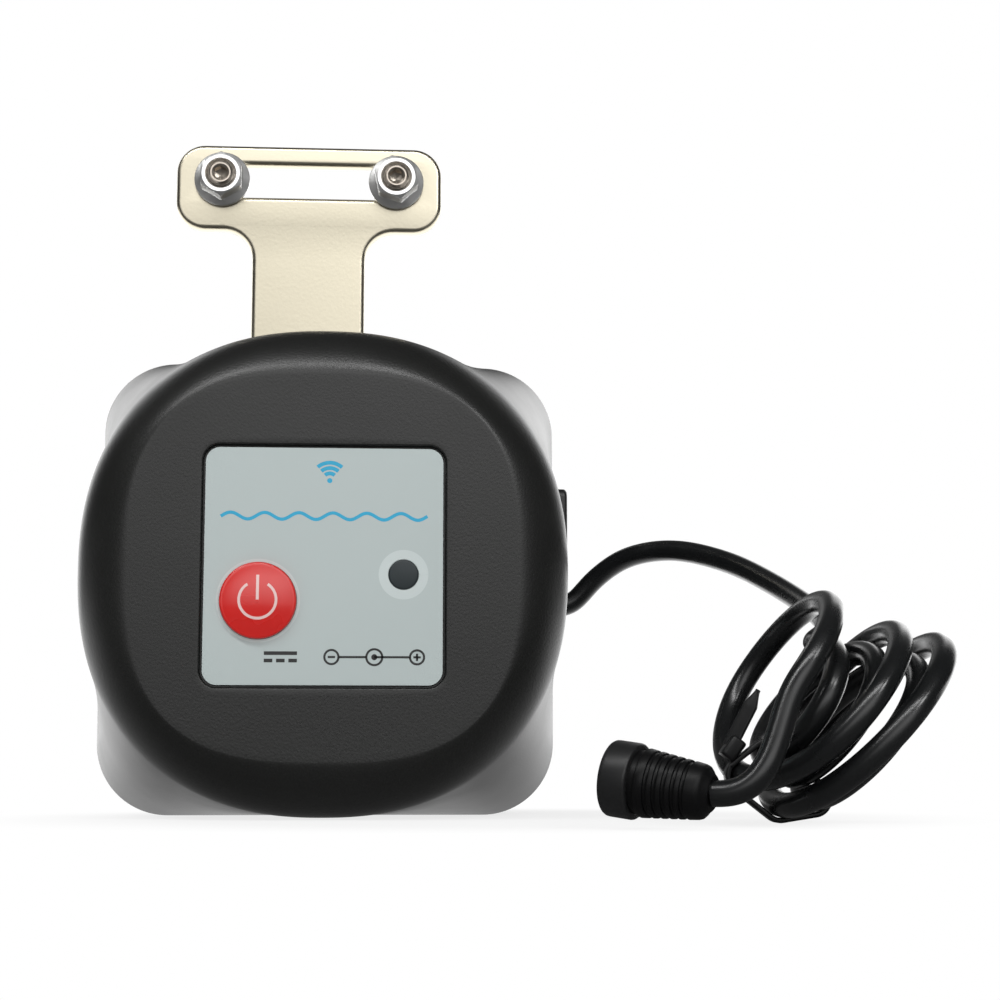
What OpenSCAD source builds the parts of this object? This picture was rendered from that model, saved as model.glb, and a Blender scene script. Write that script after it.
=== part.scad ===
// Clamp-on valve controller: a motor unit that turns the handle of a valve already in the pipe.
// Units are millimetres. X points right, Y points away from the viewer of the label, Z points up.
// Depths are counted back from the flat face, and front_y puts that face in the shared frame.

/* [Housing] */
// Width and height of the rounded face outline
cap_size = 82.4; // [76:0.2:90]
// Width and height of the square back half
tub_size = 83; // [78:0.5:92]
// Corner radius of the square back half
tub_corner = 13; // [10:0.5:16]
// Width and height of the flat part of the face
face_size = 64; // [58:0.5:70]
// Squareness of the flat part's outline
face_power = 2.9; // [2.2:0.1:4]
// Squareness of the rounded face outline
cap_power = 2.3; // [2:0.1:3]
// Depth of the rounded shoulder
shoulder_depth = 9; // [6:0.5:12]
// Depth of the front shell
shell_depth = 40; // [38:0.5:42]
// Depth of the whole housing
body_depth = 62; // [60:0.5:66]
// Wall thickness
wall = 2.2; // [1.8:0.1:3]
// Thickness of the rear cover's back wall
back_wall = 3; // [2.5:0.1:4]
// Width of the seal in the rear cover's rim
gasket_w = 1; // [0.8:0.1:1.2]
// Screw size that holds the rear cover
cover_screw_d = 3; // [2.5:0.1:3.5]

/* [Label panel] */
// Width and height of the label panel
label_size = 39.2; // [36:0.2:42]
// Corner radius of the label panel
label_corner = 2.4; // [1:0.2:5]
// Thickness of the label panel
label_t = 0.6; // [0.4:0.1:0.8]
// Gap round the label panel
label_gap = 0.5; // [0.3:0.1:0.8]
// Depth of the panel below the face
label_sink = 0.4; // [0.2:0.1:0.6]
// Diameter of the lamp window
led_d = 5; // [4:0.1:6]
// Lamp window to the right of the middle
led_x = 13.1; // [11:0.1:14]
// Lamp window above the middle
led_z = -1.4; // [-4:0.1:4]

/* [Buttons] */
// Diameter of the power button
button_d = 12.6; // [11:0.1:14]
// Power button to the right of the middle
button_x = -10.7; // [-11.5:0.1:-9]
// Power button above the middle
button_z = -5.8; // [-8:0.1:-3]
// Power button above the face
button_proud = 1.5; // [1:0.1:2.5]
// Travel of the power button
button_travel = 0.6; // [0.4:0.05:0.7]
// Height of the release button
release_h = 11.4; // [9:0.2:13]
// Width of the release button along the depth
release_w = 7; // [5:0.2:9]
// Release button above the middle
release_z = 11.4; // [9:0.2:13]
// Release button beyond the wall
release_proud = 1.6; // [1.2:0.1:2]
// Travel of the release button
release_travel = 1; // [0.6:0.1:1.2]

/* [Bracket] */
// Thickness of the bracket plate
plate_t = 3; // [2:0.1:4]
// Width of the bracket's head
head_w = 53; // [48:0.2:60]
// Height of the bracket's head
head_h = 17.4; // [14:0.2:20]
// Top edge of the bracket above the floor
head_top = 132.6; // [126:0.2:140]
// Corner radius of the bracket's head
head_corner = 5.6; // [3:0.1:7]
// Width of the bracket's stem
stem_w = 22.4; // [18:0.2:28]
// Fillet between stem and head
stem_fillet = 6; // [3:0.2:8]
// Height of the slot
slot_h = 6.6; // [5.6:0.1:7]
// Slot's lower edge above the head's lower edge
slot_up = 6.8; // [4:0.1:7.4]
// Width and height of the bracket's foot behind the housing
foot_size = 46; // [42:0.5:56]
// Screw size that holds the bracket
bracket_screw_d = 4; // [3:0.1:5]
// Spacing of the bracket screws
bracket_screw_gap = 34; // [32:0.5:38]

/* [Studs] */
// Diameter of the studs
stud_d = 5; // [4:0.1:5.2]
// Length of the studs
stud_l = 35; // [30:0.5:45]
// Diameter of the studs' reduced back end
stud_shank_d = 4.4; // [3.6:0.1:4.6]
// Spacing of the studs
stud_gap = 34.8; // [30:0.2:36]
// Hexagon socket in the front end of each stud
socket_af = 2.5; // [2:0.1:3]
// Nut size across flats
nut_af = 8; // [7:0.1:9]
// Height of the flange nut
nut_h = 5; // [4:0.1:6]
// Diameter of the nut's flange
flange_d = 11; // [10:0.1:11.8]
// Height of the plain nut behind the plate
back_nut_h = 4; // [3:0.1:5]

/* [Gear train] */
// Output axis to the right of the middle
axis_x = -5.2; // [-7:0.1:-4]
// Teeth of each wheel and of each pinion
output_teeth = 40; // [40]
second_teeth = 36; // [36]
first_teeth = 30; // [30]
pinion_teeth = 10; // [10]
// Tooth module of the output pair
output_module = 1; // [1:0.01:1.04]
// Tooth module of the second pair
second_module = 0.7; // [0.68:0.01:0.72]
// Tooth module of the motor pair
first_module = 0.6; // [0.58:0.01:0.62]
// Direction from the output axis to the second spindle, in degrees
second_dir = 30; // [28:1:34]
// Direction from the second spindle to the first, in degrees
first_dir = -80; // [-84:1:-76]
// Direction from the first spindle to the motor, in degrees
motor_dir = -60; // [-64:1:-56]
// Thickness of the output wheel
output_t = 8; // [6:0.2:8]
// Diameter of the output shaft
shaft_d = 10; // [9:0.1:11]
// Diameter of the gear spindles
spindle_d = 3; // [2.5:0.1:3]
// Diameter of the motor
motor_d = 20; // [18:0.2:20.4]
// Length of the motor
motor_l = 25; // [22:0.5:27]
// Diameter of the motor's shaft
motor_shaft_d = 2; // [1.5:0.1:2.3]

/* [Drive fork] */
// Length of the drive arm
arm_l = 60; // [52:0.5:66]
// Width of the drive arm
arm_w = 16; // [15:0.5:18]
// Thickness of the drive arm
arm_t = 4; // [3:0.2:5]
// Spacing of the fork posts
post_gap = 46; // [40:0.5:48]
// Diameter of the fork posts
post_d = 5; // [4:0.1:6]
// Length of the fork posts behind the arm
post_l = 20; // [15:0.5:24]
// Diameter of the fork sleeves
sleeve_d = 9; // [8:0.1:11]

/* [Cord] */
// Diameter of the cord
cable_d = 3.7; // [3.4:0.1:3.7]
// Half length of the hank's innermost loop
hank_long = 9.2; // [8.8:0.1:9.4]
// Half depth of the hank's innermost loop
hank_deep = 13; // [12:0.5:14]
// Diameter of the inline socket's collar
jack_d = 10.8; // [10:0.1:11.6]
// Diameter of the inline socket's bore
jack_bore = 5.6; // [5:0.1:5.8]
// Diameter of the inline socket's pin
jack_pin = 2; // [1.6:0.1:2.5]

/* [Clearances] */
// Radial clearance of turning fits
run_clear = 0.05; // [0.03:0.01:0.1]
// Clearance of fixed fits, on the radius
fit_clear = 0.02; // [0.01:0.01:0.05]
// Clearance between moving pieces
move_clear = 0.3; // [0.25:0.05:0.4]
// Play between the teeth of a pair, along the pitch circle
backlash = 0.24; // [0.2:0.02:0.3]

/* [Output] */
// Node to draw, or "all"

/* [Hidden] */
$fn = 48;
eps = 0.01;

// Places along the depth, counted from the flat face
mid_z = tub_size / 2;
plate_front = body_depth;
plate_back = plate_front + plate_t;
recess_depth = label_sink + label_t;
board_front = 9.4;
board_t = 1.6;
board_back = board_front + board_t;
first_front = 13.4;
first_t = 3;
second_front = first_front + first_t + 3.2;
second_t = 4;
output_front = second_front + second_t + 3;
plate_gap = 2;
gear_plate_front = output_front + output_t + plate_gap;
gear_plate_t = 2;
gear_plate_back = gear_plate_front + gear_plate_t;
motor_front = second_front + second_t + 2.4;
motor_back = motor_front + motor_l;
cam_front = gear_plate_back + 3;
cam_t = 4;
back_inside = body_depth - back_wall;
bracket_head_h = 1.8;
post_head_t = 1.4;
arm_front = plate_back + bracket_head_h + post_head_t + 0.4;
arm_back = arm_front + arm_t;
stud_front = plate_front - nut_h - 0.6;
stud_back = stud_front + stud_l;
post_back = arm_back + post_l;
rear_reach = max(stud_back, post_back);
front_y = (button_proud - rear_reach) / 2;

// Gear centres, counted from the middle of the housing
output_at = [axis_x, 0];
output_dist = output_module * (output_teeth + pinion_teeth) / 2;
second_dist = second_module * (second_teeth + pinion_teeth) / 2;
first_dist = first_module * (first_teeth + pinion_teeth) / 2;
second_at = output_at + output_dist * [cos(second_dir), sin(second_dir)];
first_at = second_at + second_dist * [cos(first_dir), sin(first_dir)];
motor_at = first_at + first_dist * [cos(motor_dir), sin(motor_dir)];

// Loft of the front shell: three outlines in polar form, joined by a rounded shoulder and a straight wall
loft_points = 64;
shoulder_rings = 7;
corner_pull = 0.5;
function power_radius(half, power, a) =
    half / pow(pow(abs(cos(a)), power) + pow(abs(sin(a)), power), 1 / power);
function fold(a) = let (q = abs(((a % 90) + 90) % 90)) min(q, 90 - q);
function square_radius(half, corner, a) =
    let (f = fold(a), u = half - corner)
    half * tan(f) < u ? half / cos(f)
    : u * (cos(f) + sin(f)) + sqrt(pow(corner, 2) - pow(u * (cos(f) - sin(f)), 2));
function loft_angle(k) =
    let (a = 360 * k / loft_points) a + corner_pull / 4 * sin(4 * a) * 180 / PI;
function bezier(p, q, r, s, t) =
    pow(1 - t, 3) * p + 3 * pow(1 - t, 2) * t * q + 3 * (1 - t) * t * t * r + pow(t, 3) * s;
arc_pull = 0.55;
// Depth and radius along one line of the shell, inset from the outside; the last step is the shell's rim
function shell_line(a, inset, rim) =
    let (
        face = power_radius(face_size / 2, face_power, a) - inset / 2,
        cap = power_radius(cap_size / 2, cap_power, a) - inset,
        tub = square_radius(tub_size / 2, tub_corner, a) - inset,
        slope = (tub - cap) / (shell_depth - shoulder_depth),
        start = [inset, face],
        finish = [shoulder_depth, cap],
        knee = [inset, cap - slope * (shoulder_depth - inset)]
    )
    concat(
        [for (i = [0 : shoulder_rings]) bezier(
            start, start + arc_pull * (knee - start), finish + arc_pull * (knee - finish), finish,
            i / shoulder_rings)],
        [[rim, cap + slope * (rim - shoulder_depth)]]
    );
function shell_rings(inset, rim) =
    let (lines = [for (k = [0 : loft_points - 1]) shell_line(loft_angle(k), inset, rim)])
    [for (i = [0 : shoulder_rings + 1]) [for (k = [0 : loft_points - 1])
        let (a = loft_angle(k), p = lines[k][i])
        [p[1] * cos(a), front_y + p[0], mid_z + p[1] * sin(a)]]];

// Closed skin through rings that run counter-clockwise as seen along the sweep, with a fan at each end
function backwards(list) = [for (i = [len(list) - 1 : -1 : 0]) list[i]];
function middle(points) = [for (p = points) 1] * points / len(points);
module skin(rings) {
    n = len(rings[0]);
    m = len(rings);
    polyhedron(
        points = concat([for (r = rings) each r], [middle(rings[0]), middle(rings[m - 1])]),
        faces = [for (k = [0 : n - 1]) each let (j = (k + 1) % n, last = (m - 1) * n) concat(
            [[m * n, j, k], [m * n + 1, last + k, last + j]],
            [for (i = [0 : m - 2]) each [
                [i * n + k, i * n + j, (i + 1) * n + j],
                [i * n + k, (i + 1) * n + j, (i + 1) * n + k]
            ]]
        )]
    );
}

// A flat outline in X and Z, counted from the middle of the housing, drawn between two depths
module deep(from, to) {
    translate([0, front_y + to, mid_z]) rotate([90, 0, 0]) linear_extrude(to - from) children();
}

// A round bar along the depth
module bar(at, d, from, to) {
    deep(from, to) translate(at) circle(d = d);
}

// A profile of radius and depth, turned about an axis along the depth
module turned(at, depth) {
    translate([at[0], front_y + depth, mid_z + at[1]]) rotate([-90, 0, 0]) rotate_extrude() children();
}

module rounded(size, corner) {
    square([size[0], size[1] - 2 * corner], center = true);
    square([size[0] - 2 * corner, size[1]], center = true);
    for (x = [-1, 1], z = [-1, 1])
        translate([x * (size[0] / 2 - corner), z * (size[1] / 2 - corner)]) circle(corner);
}

// Four copies in a square: of solids, and of flat outlines
module four(gap) {
    for (x = [-1, 1], z = [-1, 1]) translate([x, 0, z] * gap / 2) children();
}
module four_flat(gap) {
    for (x = [-1, 1], z = [-1, 1]) translate([x, z] * gap / 2) children();
}

// Pan head screw: its shank starts at depth from, its head bears at depth seat, both along +Y
module pan_screw(at, d, from, seat, head_d, head_h) {
    difference() {
        union() {
            bar(at, d, from, seat);
            bar(at, head_d, seat, seat + head_h);
        }
        for (turn = [0, 90]) deep(seat + head_h * 0.45, seat + head_h + eps)
            translate(at) rotate(turn) square([head_d * 0.6, 0.7], center = true);
    }
}

// Involute gear outline; the first tooth points along phase
pressure = 25;
addendum = 0.85;
dedendum = 1.2;
function involute(a) = tan(a) * 180 / PI - a;
function tooth_half(teeth, m, r) =
    let (pitch = teeth * m / 2, base = pitch * cos(pressure), at = max(r, base))
    90 / teeth - backlash / 4 / pitch * 180 / PI + involute(pressure) - involute(acos(base / at));
function gear_points(teeth, m, phase) =
    let (
        pitch = teeth * m / 2,
        base = pitch * cos(pressure),
        root = pitch - dedendum * m,
        tip = pitch + addendum * m,
        low = max(root, base),
        radii = [root, low + 0.05 * m, low + (tip - low) * 0.4, low + (tip - low) * 0.75, tip]
    )
    [for (k = [0 : teeth - 1]) each let (mid = phase + 360 * k / teeth) concat(
        [for (i = [0 : 4]) let (a = mid - tooth_half(teeth, m, radii[i])) radii[i] * [cos(a), sin(a)]],
        [for (i = [4 : -1 : 0]) let (a = mid + tooth_half(teeth, m, radii[i])) radii[i] * [cos(a), sin(a)]]
    )];
module gear(at, teeth, m, phase) {
    translate(at) polygon(gear_points(teeth, m, phase));
}
function facing_gap(dir) = dir + 180 + 180 / pinion_teeth;

// Housing
boss_d = cover_screw_d + 5;
boss_at = 2 * (tub_size / 2 - wall - boss_d / 2 - 4.7);
boss_front = 26;
cover_head_d = cover_screw_d * 1.9;
cover_head_h = cover_screw_d * 0.6;
cover_seat = body_depth - cover_head_h - 0.4;
gland_at = -4;
gland_depth = 33;
gland_d = 8;
release_depth = 31;
release_flange = 1.2;
release_in = tub_size / 2 - wall;

// Distance from the middle to the middle of the wall at a corner, at a depth behind the shoulder
function corner_reach(depth) =
    let (
        cap = power_radius(cap_size / 2, cap_power, 45) - wall / 2,
        tub = square_radius(tub_size / 2, tub_corner, 45) - wall / 2
    )
    cap + (tub - cap) * (depth - shoulder_depth) / (shell_depth - shoulder_depth);

// Webs that join the screw bosses to the leaning corner walls
boss_web = 2.4;
web_step = 0.2;
module boss_webs() {
    for (a = [45 : 90 : 315]) hull() for (from = [boss_front, shell_depth - web_step])
        deep(from, from + web_step) rotate(a) translate([boss_at / sqrt(2), -boss_web / 2])
            square([corner_reach(from) - boss_at / sqrt(2), boss_web]);
}

module front_shell() {
    difference() {
        union() {
            skin(concat(shell_rings(0, shell_depth), backwards(shell_rings(wall, shell_depth))));
            four(boss_at) bar([0, 0], boss_d, boss_front, shell_depth);
            boss_webs();
            four(board_hole_gap) bar([0, 0], board_post_d, wall / 2, board_front);
            deep(release_depth - release_w / 2, release_depth + release_w / 2)
                translate([spring_seat - 1.6, release_z - 6]) square([1.6, boss_at / 2 - release_z + 6]);
        }
        four(board_hole_gap) bar([0, 0], board_screw_d + 2 * fit_clear, wall + 0.8, board_front + 1);
        deep(-1, recess_depth) rounded([1, 1] * (label_size + 2 * label_gap), label_corner + label_gap);
        bar([button_x, button_z], button_d + 2 * move_clear, 0, wall + 1);
        bar([led_x, led_z], led_d + 2 * fit_clear, 0, wall + 1);
        four(boss_at) bar([0, 0], cover_screw_d + 2 * fit_clear, boss_front + 2, shell_depth + 1);
        side_hole(gland_depth, gland_at, gland_d + 2 * fit_clear);
        release_cut();
    }
}

// A round hole through the right wall
module side_hole(depth, at, d) {
    translate([tub_size / 2 - wall - 4, front_y + depth, mid_z + at]) rotate([0, 90, 0])
        cylinder(d = d, h = wall + 8);
}

// A rounded block along X, as wide as the depth and as tall as given
module side_block(depth, at, size, corner, from, to) {
    translate([from, front_y + depth, mid_z + at]) rotate([90, 0, 90])
        linear_extrude(to - from) rounded(size, corner);
}

module release_cut() {
    side_block(release_depth, release_z, [release_w, release_h] + [2, 2] * move_clear, 1.5 + move_clear,
        tub_size / 2 - wall - 4, tub_size / 2 + 4);
}

module rear_cover() {
    difference() {
        deep(shell_depth, body_depth) rounded([1, 1] * tub_size, tub_corner);
        difference() {
            deep(shell_depth - 1, back_inside) rounded([1, 1] * (tub_size - 2 * wall), tub_corner - wall);
            four(boss_at) bar([0, 0], boss_d, shell_depth - 2, body_depth);
            for (at = plate_posts) bar(at, plate_post_d, gear_plate_back, body_depth);
            four(bracket_screw_gap) bar(output_at, bracket_screw_d + 4, back_inside - 5, body_depth);
            bar(motor_at, motor_d + 5, motor_back - 4, body_depth);
            bar(output_at, shaft_d + 12, bush_front, body_depth);
        }
        gasket_ring(gasket_w, shell_depth - 1, shell_depth + gasket_w);
        four(boss_at) {
            bar([0, 0], cover_screw_d + 2 * run_clear, shell_depth - 1, body_depth);
            bar([0, 0], cover_head_d + 0.6, cover_seat, body_depth + 1);
        }
        bar(motor_at, motor_d + 2 * fit_clear, motor_back - 5, motor_back + end_cap_t);
        bar(output_at, bush_d + 2 * fit_clear, bush_front - 1, body_depth + 1);
        for (at = plate_posts) bar(at, plate_screw_d + 2 * fit_clear, gear_plate_back - 1, back_inside - 6);
        four(bracket_screw_gap)
            bar(output_at, bracket_screw_d + 2 * fit_clear, back_inside - 4, body_depth + 1);
    }
}

// Rounded square ring in the middle of the rim
module gasket_ring(width, from, to) {
    across = tub_size - wall;
    deep(from, to) difference() {
        rounded([1, 1] * (across + width), tub_corner - wall / 2 + width / 2);
        rounded([1, 1] * (across - width), tub_corner - wall / 2 - width / 2);
    }
}

module shell_gasket() {
    gasket_ring(gasket_w - 2 * fit_clear, shell_depth, shell_depth + gasket_w);
}

module cover_screws() {
    four(boss_at)
        pan_screw([0, 0], cover_screw_d, boss_front + 4, cover_seat, cover_head_d, cover_head_h);
}

// Label panel and what shows in it
module label_panel() {
    deep(label_sink, recess_depth) difference() {
        rounded([1, 1] * label_size, label_corner);
        translate([button_x, button_z]) circle(d = button_d + 2 * move_clear);
        translate([led_x, led_z]) circle(d = led_d + 2 * fit_clear);
    }
}

led_flange_t = 0.8;
module led_window() {
    bar([led_x, led_z], led_d, label_sink - 0.1, wall + led_flange_t);
    bar([led_x, led_z], led_d + 2, wall, wall + led_flange_t);
}

lamp_d = 3;
module led_lamp() {
    lamp_front = wall + led_flange_t + move_clear;
    bar([led_x, led_z], lamp_d, lamp_front + lamp_d / 2, board_front);
    bar([led_x, led_z], lamp_d + 0.8, board_front - 1, board_front);
    translate([led_x, front_y + lamp_front + lamp_d / 2, mid_z + led_z]) sphere(d = lamp_d);
}

// Electronics
board_size = 56;
board_hole_gap = 49;
board_post_d = 5;
board_screw_d = 2;
module circuit_board() {
    deep(board_front, board_back) difference() {
        rounded([1, 1] * board_size, 5);
        four_flat(board_hole_gap) circle(d = board_screw_d + 2 * run_clear);
    }
}

module wireless_module() {
    module_at = [8, 16];
    deep(board_front - 0.8, board_front) translate(module_at) square([26, 16], center = true);
    deep(board_front - 2.6, board_front - 0.8) translate(module_at + [3.5, 0]) square([17, 14], center = true);
}

switch_t = 3.4;
switch_cap = 0.6;
switch_front = board_front - switch_t - switch_cap;
module tact_switch() {
    deep(board_front - switch_t, board_front) translate([button_x, button_z]) square(6, center = true);
    bar([button_x, button_z], 3.4, switch_front, board_front);
}

board_head_d = 3.8;
module board_screws() {
    difference() {
        four(board_hole_gap) {
            bar([0, 0], board_head_d, board_back, board_back + 1.4);
            bar([0, 0], board_screw_d, board_back - 6, board_back);
        }
        four(board_hole_gap) deep(board_back + 0.7, board_back + 2)
            for (turn = [0, 90]) rotate(turn) square([2.4, 0.5], center = true);
    }
}

// Power button: a domed cap, a collar behind the face and a stem over the switch
button_collar_t = 1;
button_collar_front = wall + 0.05;
button_collar_back = button_collar_front + button_collar_t;
button_stem_back = switch_front - button_travel - 0.05;
dome_h = 1;
dome_steps = 6;
module power_button() {
    r = button_d / 2;
    dome_r = (pow(r, 2) + pow(dome_h, 2)) / (2 * dome_h);
    edge = asin(r / dome_r);
    turned([button_x, button_z], 0) polygon(concat(
        [for (i = [0 : dome_steps]) let (a = edge * i / dome_steps)
            [dome_r * sin(a), dome_r * (1 - cos(a)) - button_proud]],
        [[r, button_collar_front], [r + 1.2, button_collar_front], [r + 1.2, button_collar_back],
            [1.5, button_collar_back], [1.5, button_stem_back], [0, button_stem_back]]
    ));
}

// Release button on the right wall, with a collar inside and a spring behind it
release_out = tub_size / 2 + release_proud;
module release_button() {
    side_block(release_depth, release_z, [release_w, release_h], 1.5, release_in - 2.2, release_out);
    side_block(release_depth, release_z, [release_w + 2.4, release_h + 2.4], 1.5,
        release_in - 2.4 - release_flange, release_in - 2.2);
    translate([release_pin, front_y + release_depth, mid_z + release_z]) rotate([0, 90, 0])
        cylinder(d = 2.6, h = 3);
}

spring_wire = 0.6;
spring_mean = 4.4;
spring_turns = 4;
release_pin = release_in - 6;
spring_seat = release_pin - release_travel - 1;
module release_spring() {
    low = spring_seat + spring_wire / 2;
    high = release_in - 2.4 - release_flange - spring_wire / 2;
    steps = 16 * spring_turns;
    skin([for (i = [0 : steps]) let (a = 360 * spring_turns * i / steps, out = [0, cos(a), sin(a)]) [
        for (k = [0 : 5]) let (b = 60 * k)
            [low + (high - low) * i / steps, front_y + release_depth, mid_z + release_z]
            + (spring_mean / 2 + spring_wire / 2 * cos(b)) * out + [spring_wire / 2 * sin(b), 0, 0]
    ]]);
}

// Gear plate, its posts and the spindles
plate_shift = [4, 0];
plate_size = [66, 52];
plate_posts = [[-25, 22], [-25, -22], [33, 22], [8, -23]];
plate_post_d = 7;
plate_screw_d = 3;
module gear_plate() {
    deep(gear_plate_front, gear_plate_back) difference() {
        translate(plate_shift) rounded(plate_size, 5);
        translate(output_at) circle(d = shaft_d + 2 * run_clear);
        translate(motor_at) circle(d = motor_d + 2 * fit_clear);
        for (at = [first_at, second_at]) translate(at) circle(d = spindle_d + 2 * fit_clear);
        for (at = plate_posts) translate(at) circle(d = plate_screw_d + 2 * run_clear);
    }
}

module plate_screws() {
    head_h = 1.8;
    difference() {
        for (at = plate_posts) {
            bar(at, plate_screw_d, gear_plate_front, gear_plate_back + 8);
            bar(at, plate_screw_d * 1.8, gear_plate_front - head_h, gear_plate_front);
        }
        for (at = plate_posts) deep(gear_plate_front - head_h - 1, gear_plate_front - head_h / 2)
            translate(at) for (turn = [0, 90]) rotate(turn) square([3.2, 0.7], center = true);
    }
}

module gear_spindles() {
    for (at = [first_at, second_at]) bar(at, spindle_d, first_front - 1, gear_plate_back);
}

// Gears
module geared_bore(at, from, to) {
    bar(at, spindle_d + 2 * run_clear, from - 1, to + 1);
}

module first_gear() {
    back = second_front + second_t + 0.6;
    difference() {
        union() {
            deep(first_front, first_front + first_t) gear(first_at, first_teeth, first_module, motor_dir);
            deep(first_front + first_t - eps, back)
                gear(first_at, pinion_teeth, second_module, facing_gap(first_dir));
        }
        geared_bore(first_at, first_front, back);
    }
}

module second_gear() {
    back = output_front + output_t + plate_gap - move_clear;
    difference() {
        union() {
            deep(second_front, second_front + second_t) gear(second_at, second_teeth, second_module, first_dir);
            deep(second_front + second_t - eps, back)
                gear(second_at, pinion_teeth, output_module, facing_gap(second_dir));
        }
        geared_bore(second_at, second_front, back);
    }
}

key_af = 7;
module key_square(clear) {
    square(key_af + 2 * clear, center = true);
}

module output_gear() {
    web = 3;
    difference() {
        deep(output_front, output_front + output_t)
            gear(output_at, output_teeth, output_module, second_dir);
        for (side = [output_front - 1, output_front + output_t - web + 1])
            deep(side, side + web) translate(output_at) difference() {
                circle(r = output_teeth * output_module / 2 - 4);
                circle(r = shaft_d / 2 + 3);
            }
        deep(output_front - 1, output_front + output_t + 1) translate(output_at) key_square(fit_clear);
    }
}

module output_shaft() {
    difference() {
        union() {
            deep(output_front - 1, output_front + output_t) translate(output_at) key_square(0);
            bar(output_at, shaft_d, output_front + output_t, arm_front);
            deep(arm_front - eps, arm_back) translate(output_at) key_square(0);
        }
        bar(output_at, arm_screw_d + 2 * fit_clear, arm_back - 12, arm_back + 1);
    }
}

// Motor: can with flats at the back, end cap with terminals, shaft and pinion
end_cap_t = 2;
module motor_can() {
    difference() {
        union() {
            bar(motor_at, motor_d, motor_front, motor_back);
            bar(motor_at, 6, motor_front - 1.2, motor_front);
        }
        bar(motor_at, motor_shaft_d + 2 * run_clear, motor_front - 2, motor_front + 8);
    }
}

module motor_end_cap() {
    bar(motor_at, motor_d - 1, motor_back, motor_back + end_cap_t);
}

module motor_pinion() {
    bar(motor_at, motor_shaft_d, first_front - 0.6, motor_front + 7.5);
    deep(first_front - 0.4, first_front + first_t + 0.6)
        gear(motor_at, pinion_teeth, first_module, facing_gap(motor_dir));
}

// Output bearing, seal, cam and end switches
bush_front = back_inside - 5;
bush_d = shaft_d + 4;
seal_t = 2.4;
module shaft_bush() {
    difference() {
        bar(output_at, bush_d, bush_front, body_depth - seal_t);
        bar(output_at, shaft_d + 2 * run_clear, bush_front - 1, body_depth);
    }
}

module shaft_seal() {
    difference() {
        bar(output_at, bush_d, body_depth - seal_t, body_depth);
        bar(output_at, shaft_d + 2 * run_clear, body_depth - seal_t - 1, body_depth + 1);
    }
}

cam_r = 9;
cam_low_r = 7.4;
module limit_cam() {
    difference() {
        union() {
            bar(output_at, 2 * cam_low_r, cam_front, cam_front + cam_t);
            intersection() {
                bar(output_at, 2 * cam_r, cam_front, cam_front + cam_t);
                deep(cam_front, cam_front + cam_t) translate(output_at)
                    polygon([[0, 0], [-4, -20], [4, -20]]);
            }
        }
        bar(output_at, shaft_d + 2 * fit_clear, cam_front - 1, cam_front + cam_t + 1);
    }
}

// Two lever switches on the gear plate, one at each end of the cam's quarter turn
switch_size = [6.4, 12.8];
module limit_switches() {
    gap = cam_r + 0.4;
    reach = cam_front + cam_t / 2;
    for (side = [[-90, 1], [180, -1]]) let (dir = side[0])
        deep(gear_plate_back, reach + 2.6) translate(output_at)
            rotate(dir) translate([gap, side[1] * 3]) {
                translate([1.6, -switch_size[1] / 2]) square([switch_size[0], switch_size[1]]);
                translate([0, -1]) square([1.7, 2]);
            }
}

// Drive fork on the back end of the shaft
arm_screw_d = 4;
module drive_arm() {
    deep(arm_front, arm_back) translate(output_at) difference() {
        union() {
            rounded([arm_l, arm_w - 4], (arm_w - 4) / 2 - eps);
            circle(d = arm_w);
        }
        key_square(fit_clear);
        for (side = [-1, 1]) translate([side * post_gap / 2, 0]) circle(d = post_d + 2 * fit_clear);
    }
}

module arm_screw() {
    pan_screw(output_at, arm_screw_d, arm_back - 10, arm_back, 10, 2.4);
}

post_at = [for (side = [-1, 1]) output_at + [side * post_gap / 2, 0]];
module fork_posts() {
    for (at = post_at) {
        bar(at, post_d, arm_front - post_head_t, post_back);
        bar(at, post_d + 3.4, arm_front - post_head_t, arm_front);
    }
}

module fork_sleeves() {
    for (at = post_at) difference() {
        bar(at, sleeve_d, arm_back, post_back - 0.5);
        bar(at, post_d + 2 * fit_clear, arm_back - 1, post_back);
    }
}

// Bracket: foot, stem and slotted head cut from one plate
head_z = head_top - head_h / 2 - mid_z;
slot_z = head_top - head_h + slot_up + slot_h / 2 - mid_z;
slot_l = stud_gap + slot_h;
shaft_hole_d = sleeve_d + shaft_d + 5;
foot_corner = max(0.5, (foot_size - stem_w) / 2 - stem_fillet);
module mounting_bracket() {
    head_low = head_z - head_h / 2;
    deep(plate_front, plate_back) translate(output_at) difference() {
        union() {
            rounded([1, 1] * foot_size, foot_corner);
            translate([-stem_w / 2, 0]) square([stem_w, head_z]);
            translate([0, head_z]) rounded([head_w, head_h], head_corner);
            for (side = [-1, 1]) translate([side * stem_w / 2, 0]) {
                corner_fill(side, head_low, -1);
                corner_fill(side, foot_size / 2, 1);
            }
        }
        circle(d = shaft_hole_d);
        four_flat(bracket_screw_gap) circle(d = bracket_screw_d + 2 * run_clear);
        translate([0, slot_z]) rounded([slot_l, slot_h], slot_h / 2 - eps);
    }
}

// Concave fillet where the stem meets the head or the foot
module corner_fill(side, z, up) {
    difference() {
        translate([side > 0 ? -1 : -stem_fillet, up > 0 ? z - 1 : z - stem_fillet])
            square([stem_fillet + 1, stem_fillet + 1]);
        translate([side * stem_fillet, z + up * stem_fillet]) circle(stem_fillet);
    }
}

module bracket_screws() {
    four(bracket_screw_gap)
        pan_screw(output_at, bracket_screw_d, back_inside - 3, plate_back, bracket_screw_d * 1.75,
            bracket_head_h);
}

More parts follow.
